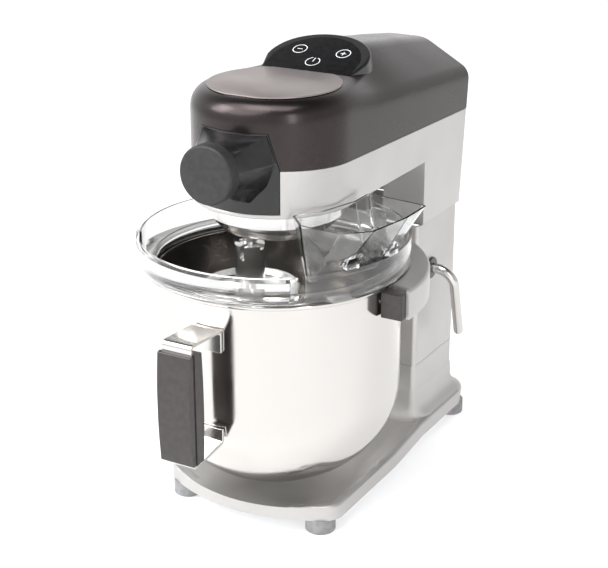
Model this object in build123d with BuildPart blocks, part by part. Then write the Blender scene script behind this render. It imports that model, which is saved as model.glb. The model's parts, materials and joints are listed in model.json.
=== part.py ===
"""Bowl-lift planetary stand mixer: cast base, column, head, 8 litre bowl, clear splash guard and whisk."""
import os
from math import cos, pi, radians, sin, tan
from build123d import *

os.makedirs("parts", exist_ok=True)

# ---------------------------------------------------------------- driving sizes, in millimetres
# Row frame: +Z up, -Y to the front, origin on the floor at the middle of the overall box.
handle_reach = 188.0        # bowl axis to the front of the handle grip
base_rear = 297.0           # bowl axis to the rear of the base
axis_y = (handle_reach - base_rear) / 2

run_gap = 0.05              # radial clearance of a shaft in its bearing
seat_gap = 0.2              # gap between two fixed pieces that fit into each other
move_gap = 0.5              # gap between pieces that pass each other
wall = 3.0                  # casting and shell thickness

foot_height = 16.0
foot_radius = 15.5
foot_half_track = 80.0
foot_front = 50.0           # ahead of the bowl axis
foot_rear = 267.0           # behind the bowl axis

base_half_width = 101.0
base_rear_half_width = 95.0
base_front = 85.0           # bowl axis to the front of the base
base_front_corner = 53.0    # bowl axis to where the front arc meets the sides
deck_height = 16.0          # skirt underside to the raised lip
deck_drop = 4.0             # lip to the flat of the deck
dish_depth = 6.0            # flat of the deck to the middle of the dish
dish_radius = 84.0

column_half_width = 81.0
column_front = 164.0        # bowl axis to the front of the column
column_depth = 100.0
stub_top = 96.0             # where the base casting ends and the column shell starts
column_top = 260.0          # where the column shell ends and the head starts

head_half_width = 82.0
head_under = 330.0          # underside of the nose
head_plate = 4.0            # thickness of the plate under the nose
neck_front = 174.0          # bowl axis to the front of the neck
neck_rear = 268.0           # bowl axis to the rear of the neck at its foot
rear_lean = 0.096           # rearward run of the back face for each mm of height
hood_edge_front = 377.0     # lower edge of the hood at the nose
hood_edge_rear = 366.0      # lower edge of the hood at the back
head_rear = 282.0           # bowl axis to the back of the hood
nose_top = 442.0            # flat on top of the nose
nose_split_angle = 33.5     # half angle of the dark nose front

drive_height = 381.0        # axis of the attachment hub
hub_cap_radius = 28.5
hub_face = 112.0            # bowl axis to the face the cap closes
hub_cap_thickness = 14.0
hub_bore = 14.0

lift_travel = 34.5
bowl_bottom = 28.0
bowl_radius = 127.2
bowl_rim = 262.0
bowl_wall = 1.5
bowl_round_height = 108.0   # height of the rounded bottom
rim_bead = 2.9

yoke_outer = 155.0
yoke_inner = 133.0
yoke_bottom = 230.0
yoke_top = 259.5
yoke_arm = 11.0             # length of the straight arms ahead of the bowl axis

guard_inner = 120.0
guard_wall_radius = 136.0
guard_thickness = 2.4
guard_top = 292.5
chute_top = 336.0

whisk_offset = 27.0
whisk_direction = 226.0     # where the tool stands at rest, degrees from +X about the bowl axis
sleeve_radius = 15.0
sleeve_top = 281.0
whisk_plate_top = 238.0
whisk_plate_radius = 50.0
whisk_bottom = 82.0
tool_shaft_radius = 7.0

ring_teeth = 60
planet_teeth = 20
face_teeth = 32
hub_teeth = 16
hub_module = 1.5
lift_module = 2.0
lift_teeth = 22

lever_height = 203.0
lever_y = 199.0             # bowl axis to the lever shaft
lever_radius = 5.5
lever_reach = 108.0         # symmetry plane to the middle of the hanging rod
lever_length = 84.0
lever_lean = 15.0           # degrees the rod leans to the rear

motor_y = 222.0
motor_radius = 38.0
motor_bottom = 306.0
motor_top = 390.0
large_pulley = 55.0
small_pulley = 11.0
belt_level = 404.0          # underside of both pulleys
pulley_width = 12.0


# ---------------------------------------------------------------- planes and shared outlines
def level(z):
    """Level plane through the bowl axis at height z."""
    return Plane(origin=(0, axis_y, z))


def side(x):
    """Upright plane facing +X: local x runs to the rear of the bowl axis, local y is height."""
    return Plane(origin=(x, axis_y, 0), x_dir=(0, 1, 0), z_dir=(1, 0, 0))


def front(y):
    """Upright plane facing forward, y behind the bowl axis: local x is +X, local y is height."""
    return Plane(origin=(0, axis_y + y, 0), x_dir=(1, 0, 0), z_dir=(0, -1, 0))


def hub_plane(y):
    """Upright plane facing forward with its origin on the attachment hub's axis."""
    return Plane(origin=(0, axis_y + y, drive_height), x_dir=(1, 0, 0), z_dir=(0, -1, 0))


def bowl_axis():
    """Upright axis that the bowl, guard and planetary head share."""
    return Axis((0, axis_y, 0), (0, 0, 1))


def base_plan(z, inset):
    """Outline of the base: bowed front, straight sides, narrower round back."""
    with BuildSketch(level(z)) as plan:
        with BuildLine():
            nose = base_half_width
            ThreePointArc((-nose, -base_front_corner), (0, -base_front), (nose, -base_front_corner))
            Polyline(
                (nose, -base_front_corner),
                (nose, column_front - 84),
                (base_rear_half_width, column_front - 4),
                (base_rear_half_width, base_rear),
                (-base_rear_half_width, base_rear),
                (-base_rear_half_width, column_front - 4),
                (-nose, column_front - 84),
                (-nose, -base_front_corner),
            )
        make_face()
        fillet(plan.vertices().group_by(Axis.Y)[0], 20)
        fillet(plan.vertices().group_by(Axis.Y)[-1], 42)
        if inset:
            offset(amount=-inset)
    return plan.sketch


def head_plan(z, inset):
    """Outline of the head: half-round nose about the bowl axis, straight sides, square back."""
    reach = head_half_width - inset
    with BuildSketch(level(z)) as plan:
        with BuildLine():
            ThreePointArc((-reach, 0), (0, -reach), (reach, 0))
            Polyline((reach, 0), (reach, head_rear + 4 - inset), (-reach, head_rear + 4 - inset), (-reach, 0))
        make_face()
        fillet(plan.vertices().group_by(Axis.Y)[-1], 6)
    return plan.sketch


def back_face(z):
    """Distance from the bowl axis to the leaning back face at height z."""
    return neck_rear + rear_lean * (z - column_top)


def hood_edge(y):
    """Height of the hood's lower edge at y behind the bowl axis."""
    slope = (hood_edge_rear - hood_edge_front) / (head_rear + head_half_width)
    return hood_edge_front + slope * (y + head_half_width)


def hood_section(y, shoulder, crown_half, crown, inset):
    """One cross-section of the hood: upright band, bevel and flat crown."""
    half = head_half_width - inset
    with BuildSketch(front(y)) as section:
        with BuildLine():
            Polyline(
                (half, hood_edge_rear - 12),
                (half, shoulder - inset / 2),
                (crown_half - inset / 2, crown - inset),
                (inset / 2 - crown_half, crown - inset),
                (-half, shoulder - inset / 2),
                (-half, hood_edge_rear - 12),
                close=True,
            )
        make_face()
    return section.sketch


def gear_sketch(plane, teeth, root, tip, root_width, tip_width, bore, turn=0.0):
    """Outline of a spur gear with straight-flanked teeth and a bore."""
    with BuildSketch(plane) as gear:
        Circle(root)
        with PolarLocations(0, teeth, start_angle=turn):
            Polygon(
                (root - 1, -root_width / 2),
                (tip, -tip_width / 2),
                (tip, tip_width / 2),
                (root - 1, root_width / 2),
                align=None,
            )
        if bore:
            Circle(bore, mode=Mode.SUBTRACT)
    return gear.sketch


# ---------------------------------------------------------------- base
base_bottom = foot_height
deck = base_bottom + deck_height
feet_places = [(x, y) for x in (-foot_half_track, foot_half_track) for y in (-foot_front, foot_rear)]
column_middle = column_front + column_depth / 2
bottom_plate_thickness = 1.5

with BuildPart() as feet:
    with BuildSketch(level(0)):
        with Locations(feet_places):
            Circle(foot_radius)
    extrude(amount=foot_height)
    fillet(feet.edges().group_by(Axis.Z)[0], 2)
feet.part.label = "feet"
export_step(feet.part, "parts/feet.step")

with BuildPart() as base_casting:
    extrude(base_plan(base_bottom, 0), amount=deck_height)
    fillet(base_casting.edges().group_by(Axis.Z)[-1], 3)
    extrude(base_plan(deck, 9), amount=-deck_drop, taper=30, mode=Mode.SUBTRACT)
    dish_sphere = (dish_radius**2 + dish_depth**2) / (2 * dish_depth)
    with Locations((0, axis_y, deck - deck_drop - dish_depth + dish_sphere)):
        Sphere(dish_sphere, mode=Mode.SUBTRACT)
    flare = ((base_bottom + 4, 1.0), (deck + 3, 0.86), (deck + 9, 0.4), (deck + 20, 0.12), (deck + 36, 0))
    for height, spread in flare:
        with BuildSketch(level(height)):
            with Locations((0, column_middle + 11 * spread)):
                RectangleRounded(
                    2 * column_half_width + 22 * spread,
                    column_depth + 34 * spread,
                    6 + 24 * spread,
                )
    loft()
    with BuildSketch(level(deck + 36)):
        with Locations((0, column_middle)):
            RectangleRounded(2 * column_half_width, column_depth, 6)
    extrude(amount=stub_top - deck - 36)
    with BuildSketch(level(base_bottom)):
        with Locations((0, column_middle)):
            RectangleRounded(2 * (column_half_width - 2 * wall), column_depth - 4 * wall, 5)
    extrude(amount=stub_top - base_bottom, mode=Mode.SUBTRACT)
    extrude(base_plan(base_bottom, wall + 1), amount=bottom_plate_thickness + 1, mode=Mode.SUBTRACT)
base_casting.part.label = "base_casting"
export_step(base_casting.part, "parts/base_casting.step")

with BuildPart() as base_plate:
    extrude(base_plan(base_bottom, wall + 1 + seat_gap), amount=bottom_plate_thickness)
    with BuildSketch(level(base_bottom)):
        with Locations((0, column_middle)):
            with GridLocations(0, 9, 1, 7):
                SlotOverall(60, 4)
    extrude(amount=bottom_plate_thickness, mode=Mode.SUBTRACT)
base_plate.part.label = "base_plate"
export_step(base_plate.part, "parts/base_plate.step")

# ---------------------------------------------------------------- column
slot_half_width = 33.0
neck_half_width = 30.0
slot_bottom = yoke_bottom - 4
slot_top = yoke_top + lift_travel + 4
seam = 0.4

with BuildPart() as column_shell:
    with BuildSketch(level(stub_top + seam)):
        with Locations((0, column_middle)):
            RectangleRounded(2 * column_half_width, column_depth, 5)
            RectangleRounded(
                2 * (column_half_width - wall), column_depth - 2 * wall, 3, mode=Mode.SUBTRACT
            )
    extrude(amount=column_top - stub_top - seam)
    with BuildSketch(front(column_front + wall + 2)):
        with Locations((0, (slot_bottom + column_top) / 2 + 5)):
            Rectangle(2 * slot_half_width, column_top - slot_bottom + 10)
    extrude(amount=wall + 4, mode=Mode.SUBTRACT)
    with BuildSketch(side(column_half_width - wall - 1)):
        with Locations((lever_y, lever_height)):
            Circle(10)
    extrude(amount=wall + 2, mode=Mode.SUBTRACT)
    with BuildSketch(front(column_front + column_depth + 1)):
        with Locations((0, 185)):
            with GridLocations(0, 10, 1, 9):
                SlotOverall(90, 4)
    extrude(amount=wall + 2, mode=Mode.SUBTRACT)
column_shell.part.label = "column_shell"
export_step(column_shell.part, "parts/column_shell.step")

cover_thickness = 2.0
with BuildPart() as rear_cover:
    with BuildSketch(front(column_front + column_depth + cover_thickness)):
        with Locations((0, 185)):
            RectangleRounded(120, 130, 6)
            with GridLocations(0, 10, 1, 9):
                SlotOverall(90, 4, mode=Mode.SUBTRACT)
    extrude(amount=cover_thickness)
    fillet(rear_cover.edges().group_by(Axis.Y)[-1], 0.8)
rear_cover.part.label = "rear_cover"
export_step(rear_cover.part, "parts/rear_cover.step")

inlet_height = 108.0
with BuildPart() as power_inlet:
    with BuildSketch(front(column_front + column_depth + 3)):
        with Locations((0, inlet_height)):
            RectangleRounded(34, 20, 4)
    extrude(amount=3 - seat_gap)
    with BuildSketch(front(column_front + column_depth + 3)):
        with Locations((0, inlet_height)):
            RectangleRounded(26, 12, 3)
    extrude(amount=2, mode=Mode.SUBTRACT)
power_inlet.part.label = "power_inlet"
export_step(power_inlet.part, "parts/power_inlet.step")

# ---------------------------------------------------------------- head
bearing_outer = 16.0
shaft_radius = 8.0
bearing_seat = 26.0         # height of the bearing boss above the plate
side_reach = head_half_width + 10

with BuildPart() as head_housing:
    with BuildSketch(side(-side_reach)):
        Polygon(
            (-side_reach, head_under),
            (neck_front, head_under),
            (neck_front, column_top + seam),
            (neck_rear, column_top + seam),
            (back_face(hood_edge_rear), hood_edge(head_rear)),
            (-side_reach, hood_edge(-side_reach)),
            align=None,
        )
    extrude(amount=2 * side_reach)
    extrude(head_plan(column_top, 0), amount=160, mode=Mode.INTERSECT)
    with BuildPart(mode=Mode.SUBTRACT):
        with BuildSketch(side(-side_reach)):
            Polygon(
                (-side_reach, head_under + head_plate),
                (neck_front + wall, head_under + head_plate),
                (neck_front + wall, column_top - 1),
                (neck_rear - wall, column_top - 1),
                (back_face(hood_edge_rear) - wall, hood_edge_front + 10),
                (-side_reach, hood_edge_front + 10),
                align=None,
            )
        extrude(amount=2 * side_reach)
        extrude(head_plan(column_top - 5, wall), amount=160, mode=Mode.INTERSECT)
    with BuildSketch(level(head_under + head_plate)):
        Circle(bearing_outer + 6)
    extrude(amount=bearing_seat)
    with BuildSketch(level(head_under)):
        Circle(bearing_outer)
    extrude(amount=head_plate + bearing_seat, mode=Mode.SUBTRACT)
    with BuildSketch(level(head_under + head_plate)):
        with Locations((0, -80)):
            Rectangle(2 * head_half_width * sin(radians(nose_split_angle)), 60)
    extrude(amount=60, mode=Mode.SUBTRACT)
    with BuildSketch(front(neck_front + wall + 1)):
        with Locations((0, (column_top + slot_top) / 2)):
            Rectangle(2 * slot_half_width, slot_top - column_top)
    extrude(amount=wall + 2, mode=Mode.SUBTRACT)
head_housing.part.label = "head_housing"
export_step(head_housing.part, "parts/head_housing.step")

# The hood is a turned nose and a run of cross-sections that joins it at the bowl axis.
hood_joint = (430.0, 70.0, nose_top)
hood_run = (
    (0.0,) + hood_joint,
    (62.0, 423.0, 57.0, nose_top),
    (124.0, 419.0, 30.0, 459.0),
    (200.0, 413.5, 27.0, 451.0),
    (head_rear + 4, 408.0, 25.0, 438.5),
)
ramp_foot = 58.0            # bowl axis to the foot of the control panel
ramp_angle = 20.2
panel_half_width = 50.0
panel_length = 66.0         # foot of the panel to its round end, along the slope
tongue_margin = 7.0
panel_plane = Plane(
    origin=(0, axis_y + ramp_foot, nose_top),
    x_dir=(1, 0, 0),
    z_dir=(0, -sin(radians(ramp_angle)), cos(radians(ramp_angle))),
)


def hood_solid(inset):
    """Closed body of the hood, all surfaces moved in by inset."""
    with BuildPart() as body:
        last = hood_run[-1] if not inset else (back_face(hood_edge_rear) - inset,) + hood_run[-1][1:]
        for first, second in zip(hood_run[:-1], hood_run[1:-1] + (last,)):
            ends = [hood_section(*first, inset), hood_section(*second, inset)]
            add(loft(ends, ruled=True, mode=Mode.PRIVATE))
        shoulder, crown_half, crown = hood_joint
        with BuildSketch(front(0)):
            with BuildLine():
                Polyline(
                    (0, hood_edge_rear - 12),
                    (head_half_width - inset, hood_edge_rear - 12),
                    (head_half_width - inset, shoulder - inset / 2),
                    (crown_half - inset / 2, crown - inset),
                    (0, crown - inset),
                    close=True,
                )
            make_face()
        revolve(axis=bowl_axis(), revolution_arc=360)
    return body.part


def panel_outline(plane, grow):
    """Straight front edge, sides and a half-round rear end."""
    with BuildSketch(plane) as outline:
        half = panel_half_width + grow
        straight = panel_length - 42
        with BuildLine():
            Polyline((-half, straight), (-half, 0), (half, 0), (half, straight))
            ThreePointArc(
                (half, straight),
                (0, panel_length + grow),
                (-half, straight),
            )
        make_face()
        fillet(outline.vertices().group_by(Axis.Y)[-1], 12)
    return outline.sketch


split_x = head_half_width * sin(radians(nose_split_angle))
arch_top = 31.5             # hub axis to the top of the dark nose front


def nose_arch(y, grow):
    """Front view of the dark nose front: upright sides, then leaning in to the hub boss."""
    half = split_x + grow
    with BuildSketch(hub_plane(y)) as arch:
        Polygon(
            (-half, head_under + head_plate - drive_height - 5),
            (half, head_under + head_plate - drive_height - 5),
            (half, hood_edge_front - drive_height),
            (36 + grow, arch_top + grow),
            (-36 - grow, arch_top + grow),
            (-half, hood_edge_front - drive_height),
            align=None,
        )
    return arch.sketch


with BuildPart() as head_hood:
    add(hood_solid(0))
    extrude(panel_outline(panel_plane, tongue_margin), amount=-30)
    with BuildSketch(side(-side_reach)):
        Polygon(
            (-side_reach, hood_edge(-side_reach) + seam),
            (-side_reach, 300),
            (400, 300),
            (400, 600),
            (back_face(600), 600),
            (back_face(hood_edge_rear), hood_edge(head_rear) + seam),
            align=None,
        )
    extrude(amount=2 * side_reach, mode=Mode.SUBTRACT)
    add(hood_solid(wall), mode=Mode.SUBTRACT)
    extrude(nose_arch(-40, seat_gap), amount=60, mode=Mode.SUBTRACT)
    extrude(panel_outline(panel_plane, 0.3), amount=-2.2, mode=Mode.SUBTRACT)
head_hood.part.label = "head_hood"
export_step(head_hood.part, "parts/head_hood.step")

hub_root = (
    (-35, 31),
    (35, 31),
    (44, 4),
    (34, -20),
    (20, -38),
    (-20, -38),
    (-34, -20),
    (-44, 4),
)
with BuildPart() as nose_front:
    with BuildSketch(level(head_under + head_plate + seat_gap)):
        Circle(head_half_width)
        Circle(head_half_width - wall, mode=Mode.SUBTRACT)
    extrude(amount=drive_height + arch_top - head_under - head_plate)
    extrude(nose_arch(-50, -seat_gap), amount=60, mode=Mode.INTERSECT)
    with BuildSketch(hub_plane(-74)):
        Polygon(*hub_root, align=None)
    with BuildSketch(hub_plane(-hub_face)):
        Circle(hub_cap_radius - 2)
    loft()
    with BuildSketch(hub_plane(-60)):
        Circle(hub_bore)
    extrude(amount=hub_face - 50, mode=Mode.SUBTRACT)
nose_front.part.label = "nose_front"
export_step(nose_front.part, "parts/nose_front.step")

nose_plate_thickness = 1.0
with BuildPart() as nose_plate:
    with BuildSketch(level(nose_top)):
        Circle(hood_joint[1] - 4)
        with Locations((0, ramp_foot - 2 - 60)):
            Rectangle(2 * hood_joint[1], 120, mode=Mode.INTERSECT)
    extrude(amount=nose_plate_thickness)
    fillet(nose_plate.edges().group_by(Axis.Z)[-1], 0.4)
nose_plate.part.label = "nose_plate"
export_step(nose_plate.part, "parts/nose_plate.step")

with BuildPart() as control_glass:
    extrude(panel_outline(panel_plane, 0), amount=-2.0)
    fillet(control_glass.faces().sort_by(Axis.Z)[-1].edges(), 0.5)
control_glass.part.label = "control_glass"
export_step(control_glass.part, "parts/control_glass.step")

with BuildPart() as control_board:
    with BuildSketch(panel_plane.offset(-12)):
        with Locations((0, 28)):
            Rectangle(60, 30)
    extrude(amount=1.6)
control_board.part.label = "control_board"
export_step(control_board.part, "parts/control_board.step")

with BuildPart() as hub_bush:
    with BuildSketch(hub_plane(-84)):
        Circle(hub_bore - seat_gap / 10)
        Circle(9 + run_gap, mode=Mode.SUBTRACT)
    extrude(amount=14)
hub_bush.part.label = "hub_bush"
export_step(hub_bush.part, "parts/hub_bush.step")

cap_plug = hub_bore - move_gap
with BuildPart() as hub_cap:
    with BuildSketch(hub_plane(-hub_face - 0.3)):
        Circle(hub_cap_radius)
    extrude(amount=hub_cap_thickness)
    fillet(hub_cap.edges().sort_by(Axis.Y)[0], 3)
    with BuildSketch(hub_plane(-hub_face + 6)):
        Circle(cap_plug)
        Circle(cap_plug - 2.5, mode=Mode.SUBTRACT)
    extrude(amount=8)
hub_cap.part.label = "hub_cap"
export_step(hub_cap.part, "parts/hub_cap.step")

# ---------------------------------------------------------------- drive
main_shaft_bottom = 304.0
main_shaft_top = belt_level + pulley_width
face_gear_pitch = hub_module * face_teeth / 2
hub_gear_pitch = hub_module * hub_teeth / 2
face_gear_root = drive_height + hub_gear_pitch + 1.9
tooth_width = 1.5
face_gear_width = 5.0

with BuildPart() as main_bearings:
    for start in (head_under + 1, head_under + head_plate + bearing_seat - 9):
        with BuildSketch(level(start)):
            Circle(bearing_outer)
            Circle(shaft_radius + run_gap, mode=Mode.SUBTRACT)
        extrude(amount=8)
main_bearings.part.label = "main_bearings"
export_step(main_bearings.part, "parts/main_bearings.step")

with BuildPart() as main_shaft:
    with BuildSketch(level(main_shaft_bottom)):
        Circle(shaft_radius)
    extrude(amount=main_shaft_top - main_shaft_bottom)
main_shaft.part.label = "main_shaft"
export_step(main_shaft.part, "parts/main_shaft.step")

with BuildPart() as face_gear:
    with BuildSketch(level(face_gear_root)):
        Circle(face_gear_pitch + 5)
        Circle(shaft_radius, mode=Mode.SUBTRACT)
    extrude(amount=4)
    with BuildSketch(level(face_gear_root)):
        with PolarLocations(face_gear_pitch, face_teeth, start_angle=180 / face_teeth):
            Rectangle(face_gear_width, tooth_width)
    extrude(amount=-2.6)
face_gear.part.label = "face_gear"
export_step(face_gear.part, "parts/face_gear.step")

with BuildPart() as large_belt_pulley:
    with BuildSketch(level(belt_level)):
        Circle(large_pulley + 3)
        Circle(shaft_radius, mode=Mode.SUBTRACT)
    extrude(amount=pulley_width)
    with BuildSketch(level(belt_level + 1.5)):
        Circle(large_pulley + 4)
        Circle(large_pulley, mode=Mode.SUBTRACT)
    extrude(amount=pulley_width - 3, mode=Mode.SUBTRACT)
    with BuildSketch(level(belt_level)):
        with PolarLocations(large_pulley * 0.58, 6):
            Circle(12)
    extrude(amount=pulley_width, mode=Mode.SUBTRACT)
large_belt_pulley.part.label = "large_belt_pulley"
export_step(large_belt_pulley.part, "parts/large_belt_pulley.step")

with BuildPart() as hub_shaft:
    with BuildSketch(hub_plane(-face_gear_pitch)):
        Circle(9)
    extrude(amount=104 - face_gear_pitch)
    with BuildSketch(hub_plane(-104)):
        Rectangle(9, 9)
    extrude(amount=-22, mode=Mode.SUBTRACT)
    pinion_plane = hub_plane(face_gear_width / 2 - face_gear_pitch)
    extrude(
        gear_sketch(pinion_plane, hub_teeth, 10.2, 13.0, tooth_width, 0.8 * tooth_width, 0, 90),
        amount=face_gear_width,
    )
hub_shaft.part.label = "hub_shaft"
export_step(hub_shaft.part, "parts/hub_shaft.step")

with BuildPart() as gearbox_bracket:
    with BuildSketch(hub_plane(-42)):
        with Locations((0, (head_under + head_plate - drive_height + 16) / 2)):
            Rectangle(40, drive_height + 16 - head_under - head_plate)
        Circle(9 + run_gap, mode=Mode.SUBTRACT)
    extrude(amount=6)
gearbox_bracket.part.label = "gearbox_bracket"
export_step(gearbox_bracket.part, "parts/gearbox_bracket.step")

motor_shaft = 4.0
stator_inner = 24.0
can_wall = 2.0
with BuildPart() as motor_can:
    with BuildSketch(level(motor_bottom)):
        with Locations((0, motor_y)):
            Circle(motor_radius)
    extrude(amount=motor_top - motor_bottom)
    with BuildSketch(level(motor_bottom + can_wall)):
        with Locations((0, motor_y)):
            Circle(motor_radius - can_wall)
    extrude(amount=motor_top - motor_bottom - 2 * can_wall, mode=Mode.SUBTRACT)
    with BuildSketch(level(motor_bottom)):
        with Locations((0, motor_y)):
            Circle(motor_shaft + run_gap)
    extrude(amount=motor_top - motor_bottom, mode=Mode.SUBTRACT)
motor_can.part.label = "motor_can"
export_step(motor_can.part, "parts/motor_can.step")

with BuildPart() as motor_stator:
    with BuildSketch(level(motor_bottom + 12)):
        with Locations((0, motor_y)):
            Circle(motor_radius - can_wall)
            Circle(stator_inner, mode=Mode.SUBTRACT)
    extrude(amount=motor_top - motor_bottom - 24)
motor_stator.part.label = "motor_stator"
export_step(motor_stator.part, "parts/motor_stator.step")

with BuildPart() as motor_rotor:
    with BuildSketch(level(motor_bottom + 14)):
        with Locations((0, motor_y)):
            Circle(stator_inner - move_gap)
    extrude(amount=motor_top - motor_bottom - 28)
    with BuildSketch(level(motor_bottom - 2)):
        with Locations((0, motor_y)):
            Circle(motor_shaft)
    extrude(amount=belt_level - motor_bottom + 2)
motor_rotor.part.label = "motor_rotor"
export_step(motor_rotor.part, "parts/motor_rotor.step")

with BuildPart() as motor_pulley:
    with BuildSketch(level(belt_level)):
        with Locations((0, motor_y)):
            Circle(small_pulley + 3)
    extrude(amount=pulley_width)
    with BuildSketch(level(belt_level + 1.5)):
        with Locations((0, motor_y)):
            Circle(small_pulley + 4)
            Circle(small_pulley, mode=Mode.SUBTRACT)
    extrude(amount=pulley_width - 3, mode=Mode.SUBTRACT)
motor_pulley.part.label = "motor_pulley"
export_step(motor_pulley.part, "parts/motor_pulley.step")

with BuildPart() as motor_plate:
    with BuildSketch(level(motor_top)):
        with Locations((0, motor_y)):
            Rectangle(2 * (head_half_width - wall), 2 * motor_radius)
            Circle(20, mode=Mode.SUBTRACT)
    extrude(amount=4)
motor_plate.part.label = "motor_plate"
export_step(motor_plate.part, "parts/motor_plate.step")

belt_thickness = 2.0
belt_gap = 0.3
belt_lean = (large_pulley - small_pulley) / motor_y
belt_rise = (1 - belt_lean**2) ** 0.5


def belt_outline(z, grow):
    """Loop round both pulleys, grow outside their grooves."""
    big = large_pulley + grow
    small = small_pulley + grow
    with BuildSketch(level(z)) as loop:
        with BuildLine():
            ThreePointArc(
                (big * belt_rise, big * belt_lean), (0, -big), (-big * belt_rise, big * belt_lean)
            )
            Line(
                (-big * belt_rise, big * belt_lean),
                (-small * belt_rise, motor_y + small * belt_lean),
            )
            ThreePointArc(
                (-small * belt_rise, motor_y + small * belt_lean),
                (0, motor_y + small),
                (small * belt_rise, motor_y + small * belt_lean),
            )
            Line(
                (small * belt_rise, motor_y + small * belt_lean),
                (big * belt_rise, big * belt_lean),
            )
        make_face()
    return loop.sketch


with BuildPart() as drive_belt:
    extrude(belt_outline(belt_level + 2, belt_gap + belt_thickness), amount=pulley_width - 4)
    extrude(belt_outline(belt_level + 2, belt_gap), amount=pulley_width - 4, mode=Mode.SUBTRACT)
drive_belt.part.label = "drive_belt"
export_step(drive_belt.part, "parts/drive_belt.step")

# ---------------------------------------------------------------- planetary head and tool
planet_pitch = whisk_offset / (ring_teeth / planet_teeth - 1)
ring_pitch = planet_pitch * ring_teeth / planet_teeth
gear_module = 2 * planet_pitch / planet_teeth
gear_bottom = 315.0
gear_face = 9.0
cup_top = head_under - 1.0
cup_radius = 67.0
cup_bottom = 298.0
planet_tooth = 0.42 * pi * gear_module
tool_x = whisk_offset * cos(radians(whisk_direction))
tool_y = whisk_offset * sin(radians(whisk_direction))


def tool_level(z):
    """Level plane through the tool's axis, turned so that local x points away from the bowl axis."""
    direction = radians(whisk_direction)
    return Plane(
        origin=(tool_x, axis_y + tool_y, z),
        x_dir=(cos(direction), sin(direction), 0),
        z_dir=(0, 0, 1),
    )


def tool_axis():
    """Upright axis of the tool."""
    return Axis((tool_x, axis_y + tool_y, 0), (0, 0, 1))


with BuildPart() as ring_gear:
    with BuildSketch(level(gear_bottom - 1)):
        Circle(ring_pitch + 9)
        Circle(ring_pitch + 1.1 * gear_module, mode=Mode.SUBTRACT)
        with PolarLocations(0, ring_teeth, start_angle=whisk_direction + 180 / ring_teeth):
            Polygon(
                (ring_pitch + 1.4 * gear_module, -planet_tooth / 2 - 0.2),
                (ring_pitch - 0.8 * gear_module, -planet_tooth / 2 + 0.35),
                (ring_pitch - 0.8 * gear_module, planet_tooth / 2 - 0.35),
                (ring_pitch + 1.4 * gear_module, planet_tooth / 2 + 0.2),
                align=None,
            )
    extrude(amount=gear_face + 2)
    with BuildSketch(level(gear_bottom - 1)):
        Circle(ring_pitch + 9)
        Circle(ring_pitch + 2, mode=Mode.SUBTRACT)
    extrude(amount=head_under - gear_bottom + 1)
ring_gear.part.label = "ring_gear"
export_step(ring_gear.part, "parts/ring_gear.step")

with BuildPart() as planetary_housing:
    with BuildSketch(front(0)):
        with BuildLine():
            Polyline(
                (0, cup_bottom),
                (50, cup_bottom),
                (53.5, cup_bottom + 1.2),
                (61.5, cup_bottom + 9.5),
                (64.5, cup_bottom + 14.5),
                (cup_radius, cup_bottom + 16),
                (cup_radius, cup_top),
                (cup_radius - wall, cup_top),
                (cup_radius - wall, cup_bottom + 19),
                (ring_pitch + 12, cup_bottom + 12),
                (ring_pitch + 8, cup_bottom + 6),
                (14, cup_bottom + 6),
                (14, cup_bottom + 14),
                (0, cup_bottom + 14),
                close=True,
            )
        make_face()
    revolve(axis=bowl_axis())
    with BuildSketch(tool_level(cup_bottom + 6)):
        Circle(13)
    extrude(amount=9)
    with BuildSketch(level(main_shaft_bottom)):
        Circle(shaft_radius)
    extrude(amount=20, mode=Mode.SUBTRACT)
    with BuildSketch(tool_level(cup_bottom)):
        Circle(10)
    extrude(amount=20, mode=Mode.SUBTRACT)
planetary_housing.part.label = "planetary_housing"
export_step(planetary_housing.part, "parts/planetary_housing.step")

with BuildPart() as tool_bush:
    with BuildSketch(tool_level(cup_bottom + 0.5)):
        Circle(10)
        Circle(tool_shaft_radius + run_gap, mode=Mode.SUBTRACT)
    extrude(amount=14.5)
tool_bush.part.label = "tool_bush"
export_step(tool_bush.part, "parts/tool_bush.step")

tool_shaft_bottom = 252.0
pin_level = 266.0
with BuildPart() as tool_shaft:
    with BuildSketch(tool_level(tool_shaft_bottom)):
        Circle(tool_shaft_radius)
    extrude(amount=gear_bottom + gear_face - tool_shaft_bottom)
    chamfer(tool_shaft.faces().sort_by(Axis.Z)[0].edges(), 1)
tool_shaft.part.label = "tool_shaft"
export_step(tool_shaft.part, "parts/tool_shaft.step")

with BuildPart() as planet_gear:
    planet_sketch = gear_sketch(
        tool_level(gear_bottom),
        planet_teeth,
        planet_pitch - 1.15 * gear_module,
        planet_pitch + 0.75 * gear_module,
        planet_tooth,
        planet_tooth * 0.55,
        tool_shaft_radius,
    )
    extrude(planet_sketch, amount=gear_face)
planet_gear.part.label = "planet_gear"
export_step(planet_gear.part, "parts/planet_gear.step")

pin_radius = 2.0
with BuildPart() as tool_pin:
    pin_plane = Plane(origin=tool_level(pin_level).origin, z_dir=(0, 1, 0))
    with BuildSketch(pin_plane):
        Circle(pin_radius)
    extrude(amount=sleeve_radius + 1.5, both=True)
    with BuildSketch(tool_level(pin_level - 4)):
        Circle(tool_shaft_radius)
    extrude(amount=8, mode=Mode.SUBTRACT)
tool_pin.part.label = "tool_pin"
export_step(tool_pin.part, "parts/tool_pin.step")

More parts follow.
